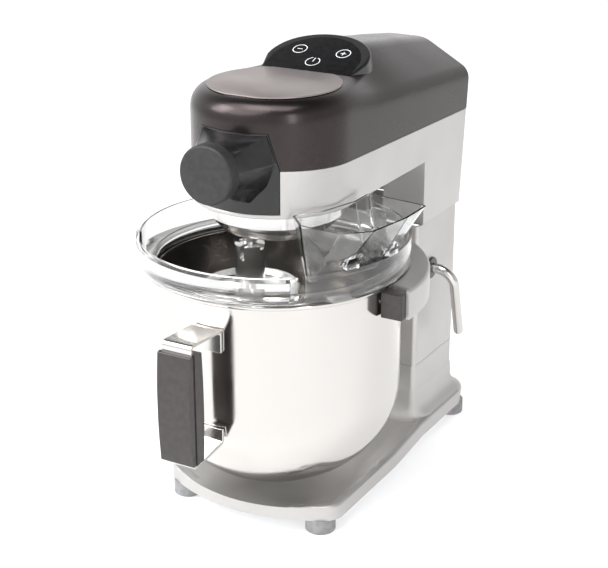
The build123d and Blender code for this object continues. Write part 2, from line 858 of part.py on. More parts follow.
dish_rim_inner = 43.5
sleeve_bore = tool_shaft_radius + 0.3
with BuildPart() as whisk_hub:
    with BuildSketch(Plane(origin=tool_level(0).origin, x_dir=(1, 0, 0), z_dir=(0, -1, 0))):
        with BuildLine():
            Polyline(
                (sleeve_bore, 226),
                (18, 226),
                (dish_rim_inner, 229),
                (dish_rim_inner + 2, 222),
                (whisk_plate_radius, 222),
                (whisk_plate_radius, whisk_plate_top - 2),
                (whisk_plate_radius - 2, whisk_plate_top),
                (dish_rim_inner + 1, whisk_plate_top),
                (dish_rim_inner - 1, 233),
                (18, 232),
                (sleeve_radius, 235),
                (sleeve_radius, sleeve_top),
                (sleeve_bore, sleeve_top),
                close=True,
            )
        make_face()
    revolve(axis=tool_axis())
    slot_width = 2 * pin_radius + 1
    with BuildSketch(Plane(origin=tool_level(0).origin, z_dir=(0, 1, 0), x_dir=(1, 0, 0))):
        with Locations((0, -(pin_level + sleeve_top) / 2)):
            Rectangle(slot_width, sleeve_top - pin_level)
        with Locations((0, -pin_level)):
            Circle(slot_width / 2)
    extrude(amount=sleeve_radius + 2, both=True, mode=Mode.SUBTRACT)
    with BuildSketch(Plane(origin=tool_level(0).origin, z_dir=(1, 0, 0), x_dir=(0, 1, 0))):
        with Locations((0, sleeve_top)):
            Rectangle(7, 8)
    extrude(amount=sleeve_radius + 2, both=True, mode=Mode.SUBTRACT)
whisk_hub.part.label = "whisk_hub"
export_step(whisk_hub.part, "parts/whisk_hub.step")

wire_radius = 1.2
wire_loops = 5
wire_step = 2 * wire_radius + 0.4
wire_belly = 165.0          # height where the whisk is widest


def wire_points(turn, low):
    """Corners of one wire loop in the upright plane at this turn about the tool axis."""
    left = ((-26, 226), (-44, wire_belly), (-34, low + 14))
    outline = (*left, (0, low), (34, low + 14), (44, wire_belly), (26, 226))
    return [
        (tool_x + reach * cos(turn), axis_y + tool_y + reach * sin(turn), height) for reach, height in outline
    ]


with BuildPart() as whisk_wires:
    for number in range(wire_loops):
        turn = radians(180 * number / wire_loops + 9)
        low = whisk_bottom + wire_radius + number * wire_step
        with BuildLine() as wire:
            FilletPolyline(*wire_points(turn, low), radius=[70, 16, 60, 16, 70])
        with BuildSketch(Plane(origin=wire.line @ 0, z_dir=wire.line % 0)):
            Circle(wire_radius)
        sweep(path=wire.line)
whisk_wires.part.label = "whisk_wires"
export_step(whisk_wires.part, "parts/whisk_wires.step")

# ---------------------------------------------------------------- bowl
with BuildPart() as bowl:
    with BuildSketch(front(0)):
        with BuildLine():
            inner = bowl_radius - bowl_wall
            round_top = bowl_bottom + bowl_round_height
            EllipticalCenterArc((0, round_top), bowl_radius, bowl_round_height, start_angle=270, arc_size=90)
            Line((bowl_radius, round_top), (bowl_radius, bowl_rim - rim_bead))
            Line((bowl_radius, bowl_rim - rim_bead), (inner, bowl_rim - rim_bead))
            Line((inner, bowl_rim - rim_bead), (inner, round_top))
            EllipticalCenterArc(
                (0, round_top),
                inner,
                bowl_round_height - bowl_wall,
                start_angle=270,
                arc_size=90,
            )
            Line((0, bowl_bottom), (0, bowl_bottom + bowl_wall))
        make_face()
        with Locations((inner + rim_bead, bowl_rim - rim_bead)):
            Circle(rim_bead)
    revolve(axis=bowl_axis())
bowl.part.label = "bowl"
export_step(bowl.part, "parts/bowl.step")

strap_thickness = 3.0
strap_width = 32.0
strap_top = 236.0
strap_bottom = 108.0
grip_top = 226.0
grip_bottom = 114.0
weld_gap = 0.1
strap_line = (
    (bowl_radius + strap_thickness / 2 + weld_gap, strap_top - 26),
    (bowl_radius + strap_thickness / 2 + weld_gap, strap_top - 4),
    (handle_reach - 9, strap_top - 1.5),
    (handle_reach - 9, strap_bottom + 1.5),
    (bowl_radius + strap_thickness / 2 + weld_gap, strap_bottom + 8),
    (bowl_radius + strap_thickness / 2 + weld_gap, strap_bottom + 22),
)
with BuildPart() as handle_strap:
    with BuildSketch(side(-strap_width / 2)):
        with BuildLine():
            FilletPolyline(*[(-reach, height) for reach, height in strap_line], radius=4)
        trace(line_width=strap_thickness)
    extrude(amount=strap_width)
    with BuildSketch(level(strap_bottom - 30)):
        Circle(bowl_radius + weld_gap)
    extrude(amount=200, mode=Mode.SUBTRACT)
handle_strap.part.label = "handle_strap"
export_step(handle_strap.part, "parts/handle_strap.step")

with BuildPart() as handle_grip:
    with BuildSketch(side(-strap_width / 2 - 2)):
        with BuildLine():
            outer = -handle_reach
            rear = -(handle_reach - 22)
            middle = (grip_top + grip_bottom) / 2
            ThreePointArc((outer + 3, grip_bottom), (outer, middle), (outer + 3, grip_top))
            Polyline((outer + 3, grip_top), (rear, grip_top))
            ThreePointArc((rear, grip_top), (rear + 2, middle), (rear, grip_bottom))
            Polyline((rear, grip_bottom), (outer + 3, grip_bottom))
        make_face()
    extrude(amount=strap_width + 4)
    fillet(handle_grip.edges().filter_by(Axis.X), 2)
    with BuildSketch(side(-strap_width / 2 - 3)):
        with Locations((-(handle_reach - 9), middle)):
            Rectangle(strap_thickness, 200)
    extrude(amount=strap_width + 6, mode=Mode.SUBTRACT)
handle_grip.part.label = "handle_grip"
export_step(handle_grip.part, "parts/handle_grip.step")

bowl_pin_level = (yoke_bottom + yoke_top) / 2
bowl_pin_radius = 4.0
bowl_pin_y = -yoke_arm - 1
with BuildPart() as bowl_pins:
    with BuildSketch(Plane(origin=(0, axis_y + bowl_pin_y, bowl_pin_level), z_dir=(1, 0, 0))):
        Circle(bowl_pin_radius)
    extrude(amount=yoke_inner - 1, both=True)
    with BuildSketch(level(bowl_pin_level - 10)):
        Circle(bowl_radius + weld_gap)
    extrude(amount=20, mode=Mode.SUBTRACT)
bowl_pins.part.label = "bowl_pins"
export_step(bowl_pins.part, "parts/bowl_pins.step")

# ---------------------------------------------------------------- bowl lift
carriage_front = column_front + wall + 1.5
carriage_depth = 14.0
carriage_bottom = 140.0
carriage_shoulder = 200.0
rail_radius = 6.0
rail_x = 46.0
rail_y = carriage_front + carriage_depth / 2
rail_bottom = 100.0
rail_top = 252.0
rack_pitch_y = lever_y - lift_module * lift_teeth / 2
rack_x = 20.0
rack_width = 12.0
rack_bottom = 148.0
rack_top = 222.0
rack_pitch = pi * lift_module
rack_tooth = 0.37 * rack_pitch
addendum = 0.8 * lift_module
dedendum = 1.2 * lift_module
rack_seat = rack_pitch_y - dedendum - 2.6

recess_width = yoke_outer - yoke_inner - 2.0
recess_middle = yoke_outer - 4 - recess_width / 2
with BuildPart() as yoke:
    with BuildSketch(level(yoke_bottom)):
        Circle(yoke_outer)
        with Locations((0, -(yoke_outer + yoke_arm) / 2)):
            Rectangle(2 * yoke_outer, yoke_outer - yoke_arm, mode=Mode.SUBTRACT)
        with Locations((0, (carriage_front + carriage_depth) / 2)):
            Rectangle(2 * neck_half_width, carriage_front + carriage_depth)
        Circle(yoke_inner, mode=Mode.SUBTRACT)
    extrude(amount=yoke_top - yoke_bottom)
    with BuildSketch(level(yoke_bottom - 1)):
        with Locations((-recess_middle, -yoke_arm), (recess_middle, -yoke_arm)):
            Rectangle(recess_width, 18)
    extrude(amount=yoke_top - yoke_bottom + 2, mode=Mode.SUBTRACT)
    fillet(yoke.edges().group_by(Axis.Z)[-1].filter_by(GeomType.CIRCLE).group_by(SortBy.RADIUS)[-1], 3)
yoke.part.label = "yoke"
export_step(yoke.part, "parts/yoke.step")

pad_inner = bowl_radius + 0.6
pad_outer = yoke_outer - 4 - seat_gap
with BuildPart() as yoke_pads:
    with BuildSketch(level(yoke_bottom + 0.5)):
        pad_middle = (pad_inner + pad_outer) / 2
        with Locations((-pad_middle, -yoke_arm - 1), (pad_middle, -yoke_arm - 1)):
            Rectangle(pad_outer - pad_inner, 16)
        Circle(bowl_radius + 0.3, mode=Mode.SUBTRACT)
    extrude(amount=bowl_rim - 2 * rim_bead - yoke_bottom - 1)
    fillet(yoke_pads.edges().filter_by(Axis.Z).group_by(Axis.Y)[0], 2.5)
    with BuildSketch(Plane(origin=(0, axis_y + bowl_pin_y, bowl_pin_level), z_dir=(1, 0, 0))):
        Circle(bowl_pin_radius + seat_gap)
    extrude(amount=yoke_inner, both=True, mode=Mode.SUBTRACT)
yoke_pads.part.label = "yoke_pads"
export_step(yoke_pads.part, "parts/yoke_pads.step")

with BuildPart() as lift_carriage:
    with BuildSketch(level(carriage_bottom)):
        with Locations((0, rail_y)):
            RectangleRounded(2 * rail_x + 30, carriage_depth, 5)
            with Locations((-rail_x, 0), (rail_x, 0)):
                Circle(rail_radius + run_gap, mode=Mode.SUBTRACT)
    extrude(amount=carriage_shoulder - carriage_bottom)
    with BuildSketch(level(carriage_shoulder)):
        with Locations((0, rail_y)):
            Rectangle(2 * neck_half_width, carriage_depth)
    extrude(amount=yoke_bottom - carriage_shoulder)
    with BuildSketch(level(rack_bottom)):
        with Locations((rack_x, (rack_seat + carriage_front + carriage_depth + 1) / 2)):
            Rectangle(rack_width + 2 * seat_gap, carriage_front + carriage_depth + 1 - rack_seat)
    extrude(amount=rack_top - rack_bottom + seat_gap, mode=Mode.SUBTRACT)
lift_carriage.part.label = "lift_carriage"
export_step(lift_carriage.part, "parts/lift_carriage.step")

with BuildPart() as lift_rack:
    root_y = rack_pitch_y - dedendum
    tip_y = rack_pitch_y + addendum
    with BuildSketch(side(rack_x - rack_width / 2)):
        with Locations(((rack_seat + root_y) / 2, (rack_bottom + rack_top) / 2)):
            Rectangle(root_y - rack_seat, rack_top - rack_bottom)
        for number in range(-8, 3):
            middle = lever_height + (number + 0.5) * rack_pitch
            flank = tan(radians(20))
            base_half = rack_tooth / 2 + dedendum * flank
            tip_half = rack_tooth / 2 - addendum * flank
            Polygon(
                (root_y - 0.5, middle - base_half),
                (tip_y, middle - tip_half),
                (tip_y, middle + tip_half),
                (root_y - 0.5, middle + base_half),
                align=None,
            )
    extrude(amount=rack_width)
lift_rack.part.label = "lift_rack"
export_step(lift_rack.part, "parts/lift_rack.step")

with BuildPart() as lift_rails:
    with BuildSketch(level(rail_bottom)):
        with Locations((-rail_x, rail_y), (rail_x, rail_y)):
            Circle(rail_radius)
    extrude(amount=rail_top - rail_bottom)
lift_rails.part.label = "lift_rails"
export_step(lift_rails.part, "parts/lift_rails.step")

rail_block_outer = column_half_width - wall - 5 * seat_gap
rail_block_inner = neck_half_width + 6
with BuildPart() as rail_blocks:
    for start, inner in ((rail_bottom, 2.0), (rail_top - 10, rail_block_inner)):
        with BuildSketch(level(start)):
            for hand in (-1, 1):
                with Locations((hand * (rail_block_outer + inner) / 2, rail_y)):
                    Rectangle(rail_block_outer - inner, carriage_depth)
            with Locations((-rail_x, rail_y), (rail_x, rail_y)):
                Circle(rail_radius, mode=Mode.SUBTRACT)
        extrude(amount=10)
rail_blocks.part.label = "rail_blocks"
export_step(rail_blocks.part, "parts/rail_blocks.step")

pinion_width = 10.0
lever_inner = 3.0
with BuildPart() as lever_rod:
    lean = radians(lever_lean)
    with BuildLine() as rod:
        FilletPolyline(
            (lever_inner, axis_y + lever_y, lever_height),
            (lever_reach, axis_y + lever_y, lever_height),
            (
                lever_reach,
                axis_y + lever_y + lever_length * sin(lean),
                lever_height - lever_length * cos(lean),
            ),
            radius=20,
        )
    with BuildSketch(Plane(origin=rod.line @ 0, z_dir=rod.line % 0)):
        Circle(lever_radius)
    sweep(path=rod.line)
    fillet(lever_rod.edges().sort_by(Axis.Z)[0], lever_radius - 0.6)
lever_rod.part.label = "lever_rod"
export_step(lever_rod.part, "parts/lever_rod.step")

with BuildPart() as lever_pinion:
    pinion_plane = Plane(
        origin=(rack_x - pinion_width / 2, axis_y + lever_y, lever_height), x_dir=(0, 1, 0), z_dir=(1, 0, 0)
    )
    pinion_pitch = lift_module * lift_teeth / 2
    extrude(
        gear_sketch(
            pinion_plane,
            lift_teeth,
            pinion_pitch - dedendum,
            pinion_pitch + addendum,
            1.5 * rack_tooth,
            0.72 * rack_tooth,
            lever_radius,
        ),
        amount=pinion_width,
    )
lever_pinion.part.label = "lever_pinion"
export_step(lever_pinion.part, "parts/lever_pinion.step")

web_y = lever_y + pinion_pitch + addendum + 3
with BuildPart() as lever_bracket:
    with BuildSketch(level(lever_height - 15)):
        with Locations((40, web_y + 3)):
            Rectangle(2 * (column_half_width - wall - seat_gap - 40), 6)
        with Locations((rack_x - pinion_width / 2 - 6, (web_y + lever_y - 12) / 2)):
            Rectangle(6, web_y - lever_y + 12)
        with Locations((rack_x + pinion_width / 2 + 6, (web_y + lever_y - 12) / 2)):
            Rectangle(6, web_y - lever_y + 12)
    extrude(amount=30)
    with BuildSketch(side(0)):
        with Locations((lever_y, lever_height)):
            Circle(lever_radius + run_gap)
    extrude(amount=60, mode=Mode.SUBTRACT)
lever_bracket.part.label = "lever_bracket"
export_step(lever_bracket.part, "parts/lever_bracket.step")

with BuildPart() as lever_bush:
    with BuildSketch(side(column_half_width - wall - 6)):
        with Locations((lever_y, lever_height)):
            Circle(10 - seat_gap)
    extrude(amount=wall + 6)
    with BuildSketch(side(column_half_width)):
        with Locations((lever_y, lever_height)):
            Circle(12)
    extrude(amount=2.5)
    fillet(lever_bush.edges().group_by(Axis.X)[-1], 1)
    with BuildSketch(side(column_half_width - wall - 7)):
        with Locations((lever_y, lever_height)):
            Circle(lever_radius + run_gap)
    extrude(amount=wall + 12, mode=Mode.SUBTRACT)
lever_bush.part.label = "lever_bush"
export_step(lever_bush.part, "parts/lever_bush.step")

# ---------------------------------------------------------------- splash guard
guard_seat = bowl_rim + 0.2
guard_step = guard_wall_radius - guard_thickness
wall_start = -48.0          # degrees from +X, where the closed gate ends
wall_end = 212.0            # degrees from +X, at the front left
gate_radius = guard_wall_radius + 0.7
gate_start = 208.0
gate_end = 309.0
gate_bottom = guard_seat + guard_thickness + 0.4
gate_top = guard_top - 1.0


def arc_sector(z, inner, outer, start, end):
    """Ring sector between two radii and two angles about the bowl axis."""
    reach = outer * 1.6
    steps = 5
    turn = (end - start) / steps
    with BuildSketch(level(z)) as sector:
        Circle(outer)
        Circle(inner, mode=Mode.SUBTRACT)
        corners = [(0, 0)]
        for number in range(steps + 1):
            angle = radians(start + number * turn)
            corners.append((reach * cos(angle), reach * sin(angle)))
        Polygon(*corners, align=None, mode=Mode.INTERSECT)
    return sector.sketch


with BuildPart() as guard_ring:
    with BuildSketch(front(0)):
        with BuildLine():
            Polyline(
                (guard_inner, guard_seat - 8),
                (guard_inner + guard_thickness, guard_seat - 8),
                (guard_inner + guard_thickness, guard_seat),
                (guard_wall_radius, guard_seat),
                (guard_wall_radius, guard_seat + guard_thickness),
                (guard_inner + guard_thickness, guard_seat + guard_thickness),
                (guard_inner + guard_thickness, guard_seat + 8),
                (guard_inner, guard_seat + 8),
                close=True,
            )
        make_face()
    revolve(axis=bowl_axis())
    wall_foot = guard_seat + guard_thickness - 0.5
    extrude(
        arc_sector(wall_foot, guard_step, guard_wall_radius, wall_start, wall_end),
        amount=guard_top - wall_foot,
    )
guard_ring.part.label = "guard_ring"
export_step(guard_ring.part, "parts/guard_ring.step")

with BuildPart() as guard_gate:
    extrude(
        arc_sector(gate_bottom, gate_radius, gate_radius + guard_thickness, gate_start, gate_end),
        amount=gate_top - gate_bottom,
    )
    extrude(
        arc_sector(gate_top - 4, gate_radius, gate_radius + guard_thickness + 1.6, gate_start, gate_end),
        amount=4,
    )
    clip_turn = radians(gate_end - 2)
    clip_out = (cos(clip_turn), sin(clip_turn), 0)
    clip_plane = Plane(
        origin=(gate_radius * clip_out[0], axis_y + gate_radius * clip_out[1], gate_top - 16),
        x_dir=clip_out,
        z_dir=(0, 0, 1),
    )
    with BuildSketch(clip_plane):
        with Locations((5, 0)):
            Rectangle(8, 6)
    extrude(amount=16)
guard_gate.part.label = "guard_gate"
export_step(guard_gate.part, "parts/guard_gate.step")

chute_bottom = 280.0
chute_lugs = (-28.0, -4.0)  # degrees from +X, where the chute stands on the guard's wall
lug_half_angle = 3.0
chute_rim = (
    (head_half_width - 24, -68),
    (79, -91),
    (124, -94),
    (146, -72),
    (yoke_outer, -20),
    (yoke_outer, 22),
    (head_half_width + 6, 30),
    (head_half_width + 6, 0),
    (head_half_width - 6, -42),
)
chute_foot = (
    (78, -78),
    (82, -83),
    (88, -82),
    (102, -62),
    (122, -18),
    (120, 14),
    (104, 18),
    (104, -8),
    (86, -50),
)


def chute_outline(z, corners, inset):
    """Outline of the filling chute at one height."""
    with BuildSketch(level(z)) as outline:
        Polygon(*corners, align=None)
        fillet(outline.vertices(), 5)
        if inset:
            offset(amount=-inset)
    return outline.sketch


with BuildPart() as guard_chute:
    loft([chute_outline(chute_bottom, chute_foot, 0), chute_outline(chute_top, chute_rim, 0)], ruled=True)
    lug_foot = guard_top + 0.3
    for turn in chute_lugs:
        extrude(
            arc_sector(
                lug_foot,
                guard_step - 3,
                guard_wall_radius + 1,
                turn - lug_half_angle,
                turn + lug_half_angle,
            ),
            amount=10,
        )
    loft(
        [
            chute_outline(chute_bottom, chute_foot, guard_thickness),
            chute_outline(chute_top, chute_rim, guard_thickness),
        ],
        ruled=True,
        mode=Mode.SUBTRACT,
    )
guard_chute.part.label = "guard_chute"
export_step(guard_chute.part, "parts/guard_chute.step")

with BuildPart() as guard_sensor:
    with BuildSketch(level(head_under)):
        with Locations((70, 48)):
            Rectangle(20, 18)
    extrude(amount=-16)
    fillet(guard_sensor.edges().filter_by(Axis.Z), 2)
guard_sensor.part.label = "guard_sensor"
export_step(guard_sensor.part, "parts/guard_sensor.step")

# ---------------------------------------------------------------- electrics and fasteners
with BuildPart() as power_board:
    board_y = column_front + column_depth - wall - 8
    with BuildSketch(front(board_y)):
        with Locations((0, 150)):
            Rectangle(110, 80)
    extrude(amount=1.6)
    with BuildSketch(front(board_y)):
        with Locations((0, 150)):
            with GridLocations(100, 70, 2, 2):
                Circle(3)
    extrude(amount=-8)
    with BuildSketch(front(board_y - 1.6)):
        with Locations((-30, 140), (-8, 140)):
            Circle(9)
        with Locations((28, 160)):
            Rectangle(34, 26)
    extrude(amount=14)
power_board.part.label = "power_board"
export_step(power_board.part, "parts/power_board.step")

with BuildPart() as cover_screws:
    with BuildSketch(front(column_front + column_depth + cover_thickness + 2)):
        with Locations((0, 185)):
            with GridLocations(108, 118, 2, 2):
                Circle(3.5)
    extrude(amount=2)
    fillet(cover_screws.edges().group_by(Axis.Y)[-1], 1)
cover_screws.part.label = "cover_screws"
export_step(cover_screws.part, "parts/cover_screws.step")

with BuildPart() as base_screws:
    with BuildSketch(level(base_bottom)):
        with Locations((-82, 60), (82, 60), (-76, 200), (76, 200), (0, -72), (0, 288)):
            Circle(3.5)
    extrude(amount=-2)
    fillet(base_screws.edges().group_by(Axis.Z)[0], 1)
base_screws.part.label = "base_screws"
export_step(base_screws.part, "parts/base_screws.step")
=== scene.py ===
import json
from math import cos, pi, radians, sin

import bmesh
import bpy
from bpy.props import FloatProperty, FloatVectorProperty, IntProperty, PointerProperty
from mathutils import Matrix, Vector


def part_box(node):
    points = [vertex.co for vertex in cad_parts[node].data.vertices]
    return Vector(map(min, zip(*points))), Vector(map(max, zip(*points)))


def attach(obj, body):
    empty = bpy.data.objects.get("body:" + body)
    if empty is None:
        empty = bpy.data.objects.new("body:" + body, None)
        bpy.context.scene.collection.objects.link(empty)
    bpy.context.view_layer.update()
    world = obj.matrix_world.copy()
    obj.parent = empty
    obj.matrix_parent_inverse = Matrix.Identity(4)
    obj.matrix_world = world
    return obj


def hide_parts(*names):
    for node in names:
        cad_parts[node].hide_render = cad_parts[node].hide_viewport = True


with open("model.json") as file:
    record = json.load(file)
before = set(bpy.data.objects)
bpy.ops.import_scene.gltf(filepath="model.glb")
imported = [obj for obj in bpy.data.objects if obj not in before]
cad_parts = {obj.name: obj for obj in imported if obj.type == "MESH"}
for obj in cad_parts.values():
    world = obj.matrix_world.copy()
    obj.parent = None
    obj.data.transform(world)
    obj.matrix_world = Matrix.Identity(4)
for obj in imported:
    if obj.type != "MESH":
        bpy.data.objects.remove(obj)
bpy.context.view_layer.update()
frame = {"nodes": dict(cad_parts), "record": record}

bl_info = {
    "name": "Planetary Stand Mixer",
    "version": (1, 0, 0),
    "blender": (4, 5, 0),
    "location": "View3D > Sidebar > Mixer",
    "description": "Dresses the frame of a countertop planetary stand mixer",
    "category": "Object",
}

NODES = frame["nodes"]
RECORD = frame["record"]
BODY_OF = {n: b for b, names in RECORD["behaviour"]["bodies"].items() for n in names}
SLOT_OF = {s["node"]: s["material_slot"] for s in RECORD["subparts"]}
MM = 0.001


def middle(node):
    """Middle of a node's box at rest."""
    low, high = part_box(node)
    return (Vector(low) + Vector(high)) / 2


BOWL_X = middle("bowl").x
BOWL_Y = middle("bowl").y
TOOL = middle("tool_shaft")
FINISHES = {}


# ---------------------------------------------------------------- sizes and colours
class MixerShape(bpy.types.PropertyGroup):
    hood_wall: FloatProperty(
        name="Hood wall", description="Thickness of the moulded hood", default=0.0024, unit="LENGTH"
    )
    hood_shoulder: FloatProperty(
        name="Hood shoulder", description="Rounding of the hood's shoulder", default=0.011, unit="LENGTH"
    )
    wire_radius: FloatProperty(
        name="Wire radius", description="Radius of one whisk wire", default=0.0012, unit="LENGTH"
    )
    wire_loops: IntProperty(
        name="Wire loops", description="Loops of wire in the whisk", default=5, min=3, max=12
    )
    symbol_line: FloatProperty(
        name="Symbol line", description="Line width of the panel symbols", default=0.0007, unit="LENGTH"
    )


class MixerColours(bpy.types.PropertyGroup):
    casting: FloatVectorProperty(
        name="Casting", description="Satin cast aluminium", subtype="COLOR", default=(0.53, 0.52, 0.51)
    )
    hood: FloatVectorProperty(
        name="Hood",
        description="Dark metallic paint of the hood",
        subtype="COLOR",
        default=(0.042, 0.034, 0.034),
    )
    bowl: FloatVectorProperty(
        name="Bowl", description="Satin stainless steel", subtype="COLOR", default=(0.60, 0.58, 0.56)
    )
    grip: FloatVectorProperty(
        name="Grip", description="Handle grip", subtype="COLOR", default=(0.022, 0.017, 0.017)
    )
    clear: FloatVectorProperty(
        name="Clear plastic", description="Guard and chute", subtype="COLOR", default=(0.975, 0.98, 0.98)
    )


class StageSetup(bpy.types.PropertyGroup):
    key_power: FloatProperty(
        name="Key light", description="Power of the key light", default=22.0, unit="POWER"
    )
    daylight: FloatProperty(
        name="Daylight", description="Strength of the even soft light", default=2.7, min=0.0
    )
    floor_size: FloatProperty(
        name="Floor size", description="Side of the floor", default=24.0, unit="LENGTH"
    )


# ---------------------------------------------------------------- materials
def plain_finish(name, colour, metallic, roughness, **extra):
    """A material with its constant values set on the shader."""
    mat = bpy.data.materials.new(name)
    mat.use_nodes = True
    shader = mat.node_tree.nodes["Principled BSDF"]
    shader.inputs["Base Color"].default_value = (*colour, 1)
    shader.inputs["Metallic"].default_value = metallic
    shader.inputs["Roughness"].default_value = roughness
    for socket, value in extra.items():
        shader.inputs[socket.replace("_", " ")].default_value = value
    FINISHES[name] = mat
    return mat


def object_coords(mat, scale, centre=(0, 0, 0)):
    nodes, links = mat.node_tree.nodes, mat.node_tree.links
    coords = nodes.new("ShaderNodeTexCoord")
    mapping = nodes.new("ShaderNodeMapping")
    mapping.inputs["Location"].default_value = [-c * s for c, s in zip(centre, scale)]
    mapping.inputs["Scale"].default_value = scale
    links.new(coords.outputs["Object"], mapping.inputs["Vector"])
    return mapping.outputs["Vector"]


def turned_coords(mat, centre, rings, rise, drag):
    """Coordinates that run round an upright axis, so that a fine noise becomes turning marks."""
    nodes, links = mat.node_tree.nodes, mat.node_tree.links
    place = object_coords(mat, (1, 1, 1), centre)
    split = nodes.new("ShaderNodeSeparateXYZ")
    links.new(place, split.inputs[0])
    flat = nodes.new("ShaderNodeCombineXYZ")
    links.new(split.outputs["X"], flat.inputs["X"])
    links.new(split.outputs["Y"], flat.inputs["Y"])
    reach = nodes.new("ShaderNodeVectorMath")
    reach.operation = "LENGTH"
    links.new(flat.outputs[0], reach.inputs[0])
    joined = nodes.new("ShaderNodeCombineXYZ")
    for source, socket, factor in (
        (reach.outputs["Value"], "X", rings),
        (split.outputs["Z"], "Y", rise),
        (split.outputs["X"], "Z", drag),
    ):
        times = nodes.new("ShaderNodeMath")
        times.operation = "MULTIPLY"
        times.inputs[1].default_value = factor
        links.new(source, times.inputs[0])
        links.new(times.outputs[0], joined.inputs[socket])
    return joined.outputs[0]


def noise_on(mat, vector, scale, detail=3.0):
    noise = mat.node_tree.nodes.new("ShaderNodeTexNoise")
    noise.inputs["Scale"].default_value = scale
    noise.inputs["Detail"].default_value = detail
    mat.node_tree.links.new(vector, noise.inputs["Vector"])
    return noise.outputs["Fac"]


def vary_roughness(mat, factor, low, high):
    nodes, links = mat.node_tree.nodes, mat.node_tree.links
    spread = nodes.new("ShaderNodeMapRange")
    spread.inputs["From Min"].default_value = 0.3
    spread.inputs["From Max"].default_value = 0.7
    spread.inputs["To Min"].default_value = low
    spread.inputs["To Max"].default_value = high
    links.new(factor, spread.inputs["Value"])
    links.new(spread.outputs[0], nodes["Principled BSDF"].inputs["Roughness"])


def vary_colour(mat, factor, first, second):
    nodes, links = mat.node_tree.nodes, mat.node_tree.links
    ramp = nodes.new("ShaderNodeValToRGB")
    ramp.color_ramp.elements[0].position = 0.35
    ramp.color_ramp.elements[0].color = (*first, 1)
    ramp.color_ramp.elements[1].position = 0.65
    ramp.color_ramp.elements[1].color = (*second, 1)
    links.new(factor, ramp.inputs[0])
    links.new(ramp.outputs[0], nodes["Principled BSDF"].inputs["Base Color"])


def raise_grain(mat, factor, strength, distance):
    nodes, links = mat.node_tree.nodes, mat.node_tree.links
    bump = nodes.new("ShaderNodeBump")
    bump.inputs["Strength"].default_value = strength
    bump.inputs["Distance"].default_value = distance
    links.new(factor, bump.inputs["Height"])
    links.new(bump.outputs[0], nodes["Principled BSDF"].inputs["Normal"])


def brushed(name, colour, rough, scale):
    """Metal with fine straight brushing along the smallest scale."""
    mat = plain_finish(name, colour, 1.0, rough)
    fine = noise_on(mat, object_coords(mat, scale), 1.0)
    broad = noise_on(mat, object_coords(mat, (14, 14, 14)), 1.0)
    vary_roughness(mat, broad, rough - 0.06, rough + 0.07)
    raise_grain(mat, fine, 0.12, 0.00006)
    return mat


def turned(name, colour, rough, centre, strength=0.10):
    mat = plain_finish(name, colour, 1.0, rough)
    marks = noise_on(mat, turned_coords(mat, centre, 1500, 1500, 9), 1.0, 2.0)
    broad = noise_on(mat, object_coords(mat, (9, 9, 22)), 1.0)
    vary_roughness(mat, broad, rough - 0.04, rough + 0.06)
    raise_grain(mat, marks, strength, 0.00005)
    return mat


def moulded(name, colour, low, high, grain, coat=0.0, metallic=0.0, uneven=0.35):
    """Plastic, paint or rubber with a fine moulded grain and slightly uneven gloss."""
    mat = plain_finish(name, colour, metallic, (low + high) / 2, Coat_Weight=coat, Coat_Roughness=0.12)
    vary_roughness(mat, noise_on(mat, object_coords(mat, (22, 22, 22)), 1.0), low, high)
    lighter = [c * (1 + uneven) + 0.009 * uneven for c in colour]
    vary_colour(mat, noise_on(mat, object_coords(mat, (160, 160, 160)), 1.0), colour, lighter)
    raise_grain(mat, noise_on(mat, object_coords(mat, (2400, 2400, 2400)), 1.0, 1.0), grain, 0.00006)
    return mat


def make_finishes(colours):
    axis = (BOWL_X, BOWL_Y, 0)
    tool_axis = (TOOL.x, TOOL.y, 0)
    casting = tuple(colours.casting)
    brushed("cast_satin", casting, 0.46, (90, 90, 2600))
    brushed("head_satin", casting, 0.36, (60, 60, 3000))
    brushed("zinc", (0.50, 0.51, 0.53), 0.38, (500, 500, 500))
    brushed("machined", (0.46, 0.46, 0.47), 0.3, (1800, 60, 60))
    brushed("strap_steel", (0.60, 0.585, 0.57), 0.14, (1800, 60, 60))
    brushed("nose_lid", (0.34, 0.295, 0.285), 0.33, (60, 2200, 60))
    turned("bowl_steel", tuple(colours.bowl), 0.12, axis, 0.04)
    turned("cup_steel", (0.70, 0.69, 0.68), 0.17, axis)
    turned("tool_steel", (0.74, 0.73, 0.72), 0.2, tool_axis)
    turned("wire_steel", (0.78, 0.77, 0.76), 0.12, tool_axis, 0.03)
    turned("sintered", (0.42, 0.25, 0.09), 0.45, axis, 0.3)
    moulded("hood_gloss", tuple(colours.hood), 0.24, 0.29, 0.03, coat=0.1, metallic=0.9, uneven=0.06)
    moulded("nose_gloss", (0.006, 0.006, 0.0065), 0.2, 0.28, 0.05, coat=0.1)
    glass = moulded("panel_gloss", (0.0015, 0.0015, 0.002), 0.04, 0.07, 0.0)
    glass.node_tree.nodes["Principled BSDF"].inputs["Specular IOR Level"].default_value = 0.18
    moulded("symbol_white", (0.78, 0.79, 0.80), 0.35, 0.5, 0.02)
    moulded("black_rubber", (0.016, 0.015, 0.015), 0.5, 0.66, 0.3)
    moulded("foot_rubber", (0.20, 0.20, 0.205), 0.55, 0.7, 0.3)
    moulded("grip_satin", tuple(colours.grip), 0.3, 0.42, 0.12, coat=0.15)
    moulded("motor_paint", (0.07, 0.075, 0.085), 0.4, 0.5, 0.2)
    moulded("solder_mask", (0.010, 0.085, 0.035), 0.3, 0.42, 0.05)
    clear = plain_finish(
        "clear", tuple(colours.clear), 0.0, 0.05, Transmission_Weight=1.0, IOR=1.46
    )
    vary_roughness(clear, noise_on(clear, object_coords(clear, (40, 40, 40)), 1.0), 0.02, 0.09)


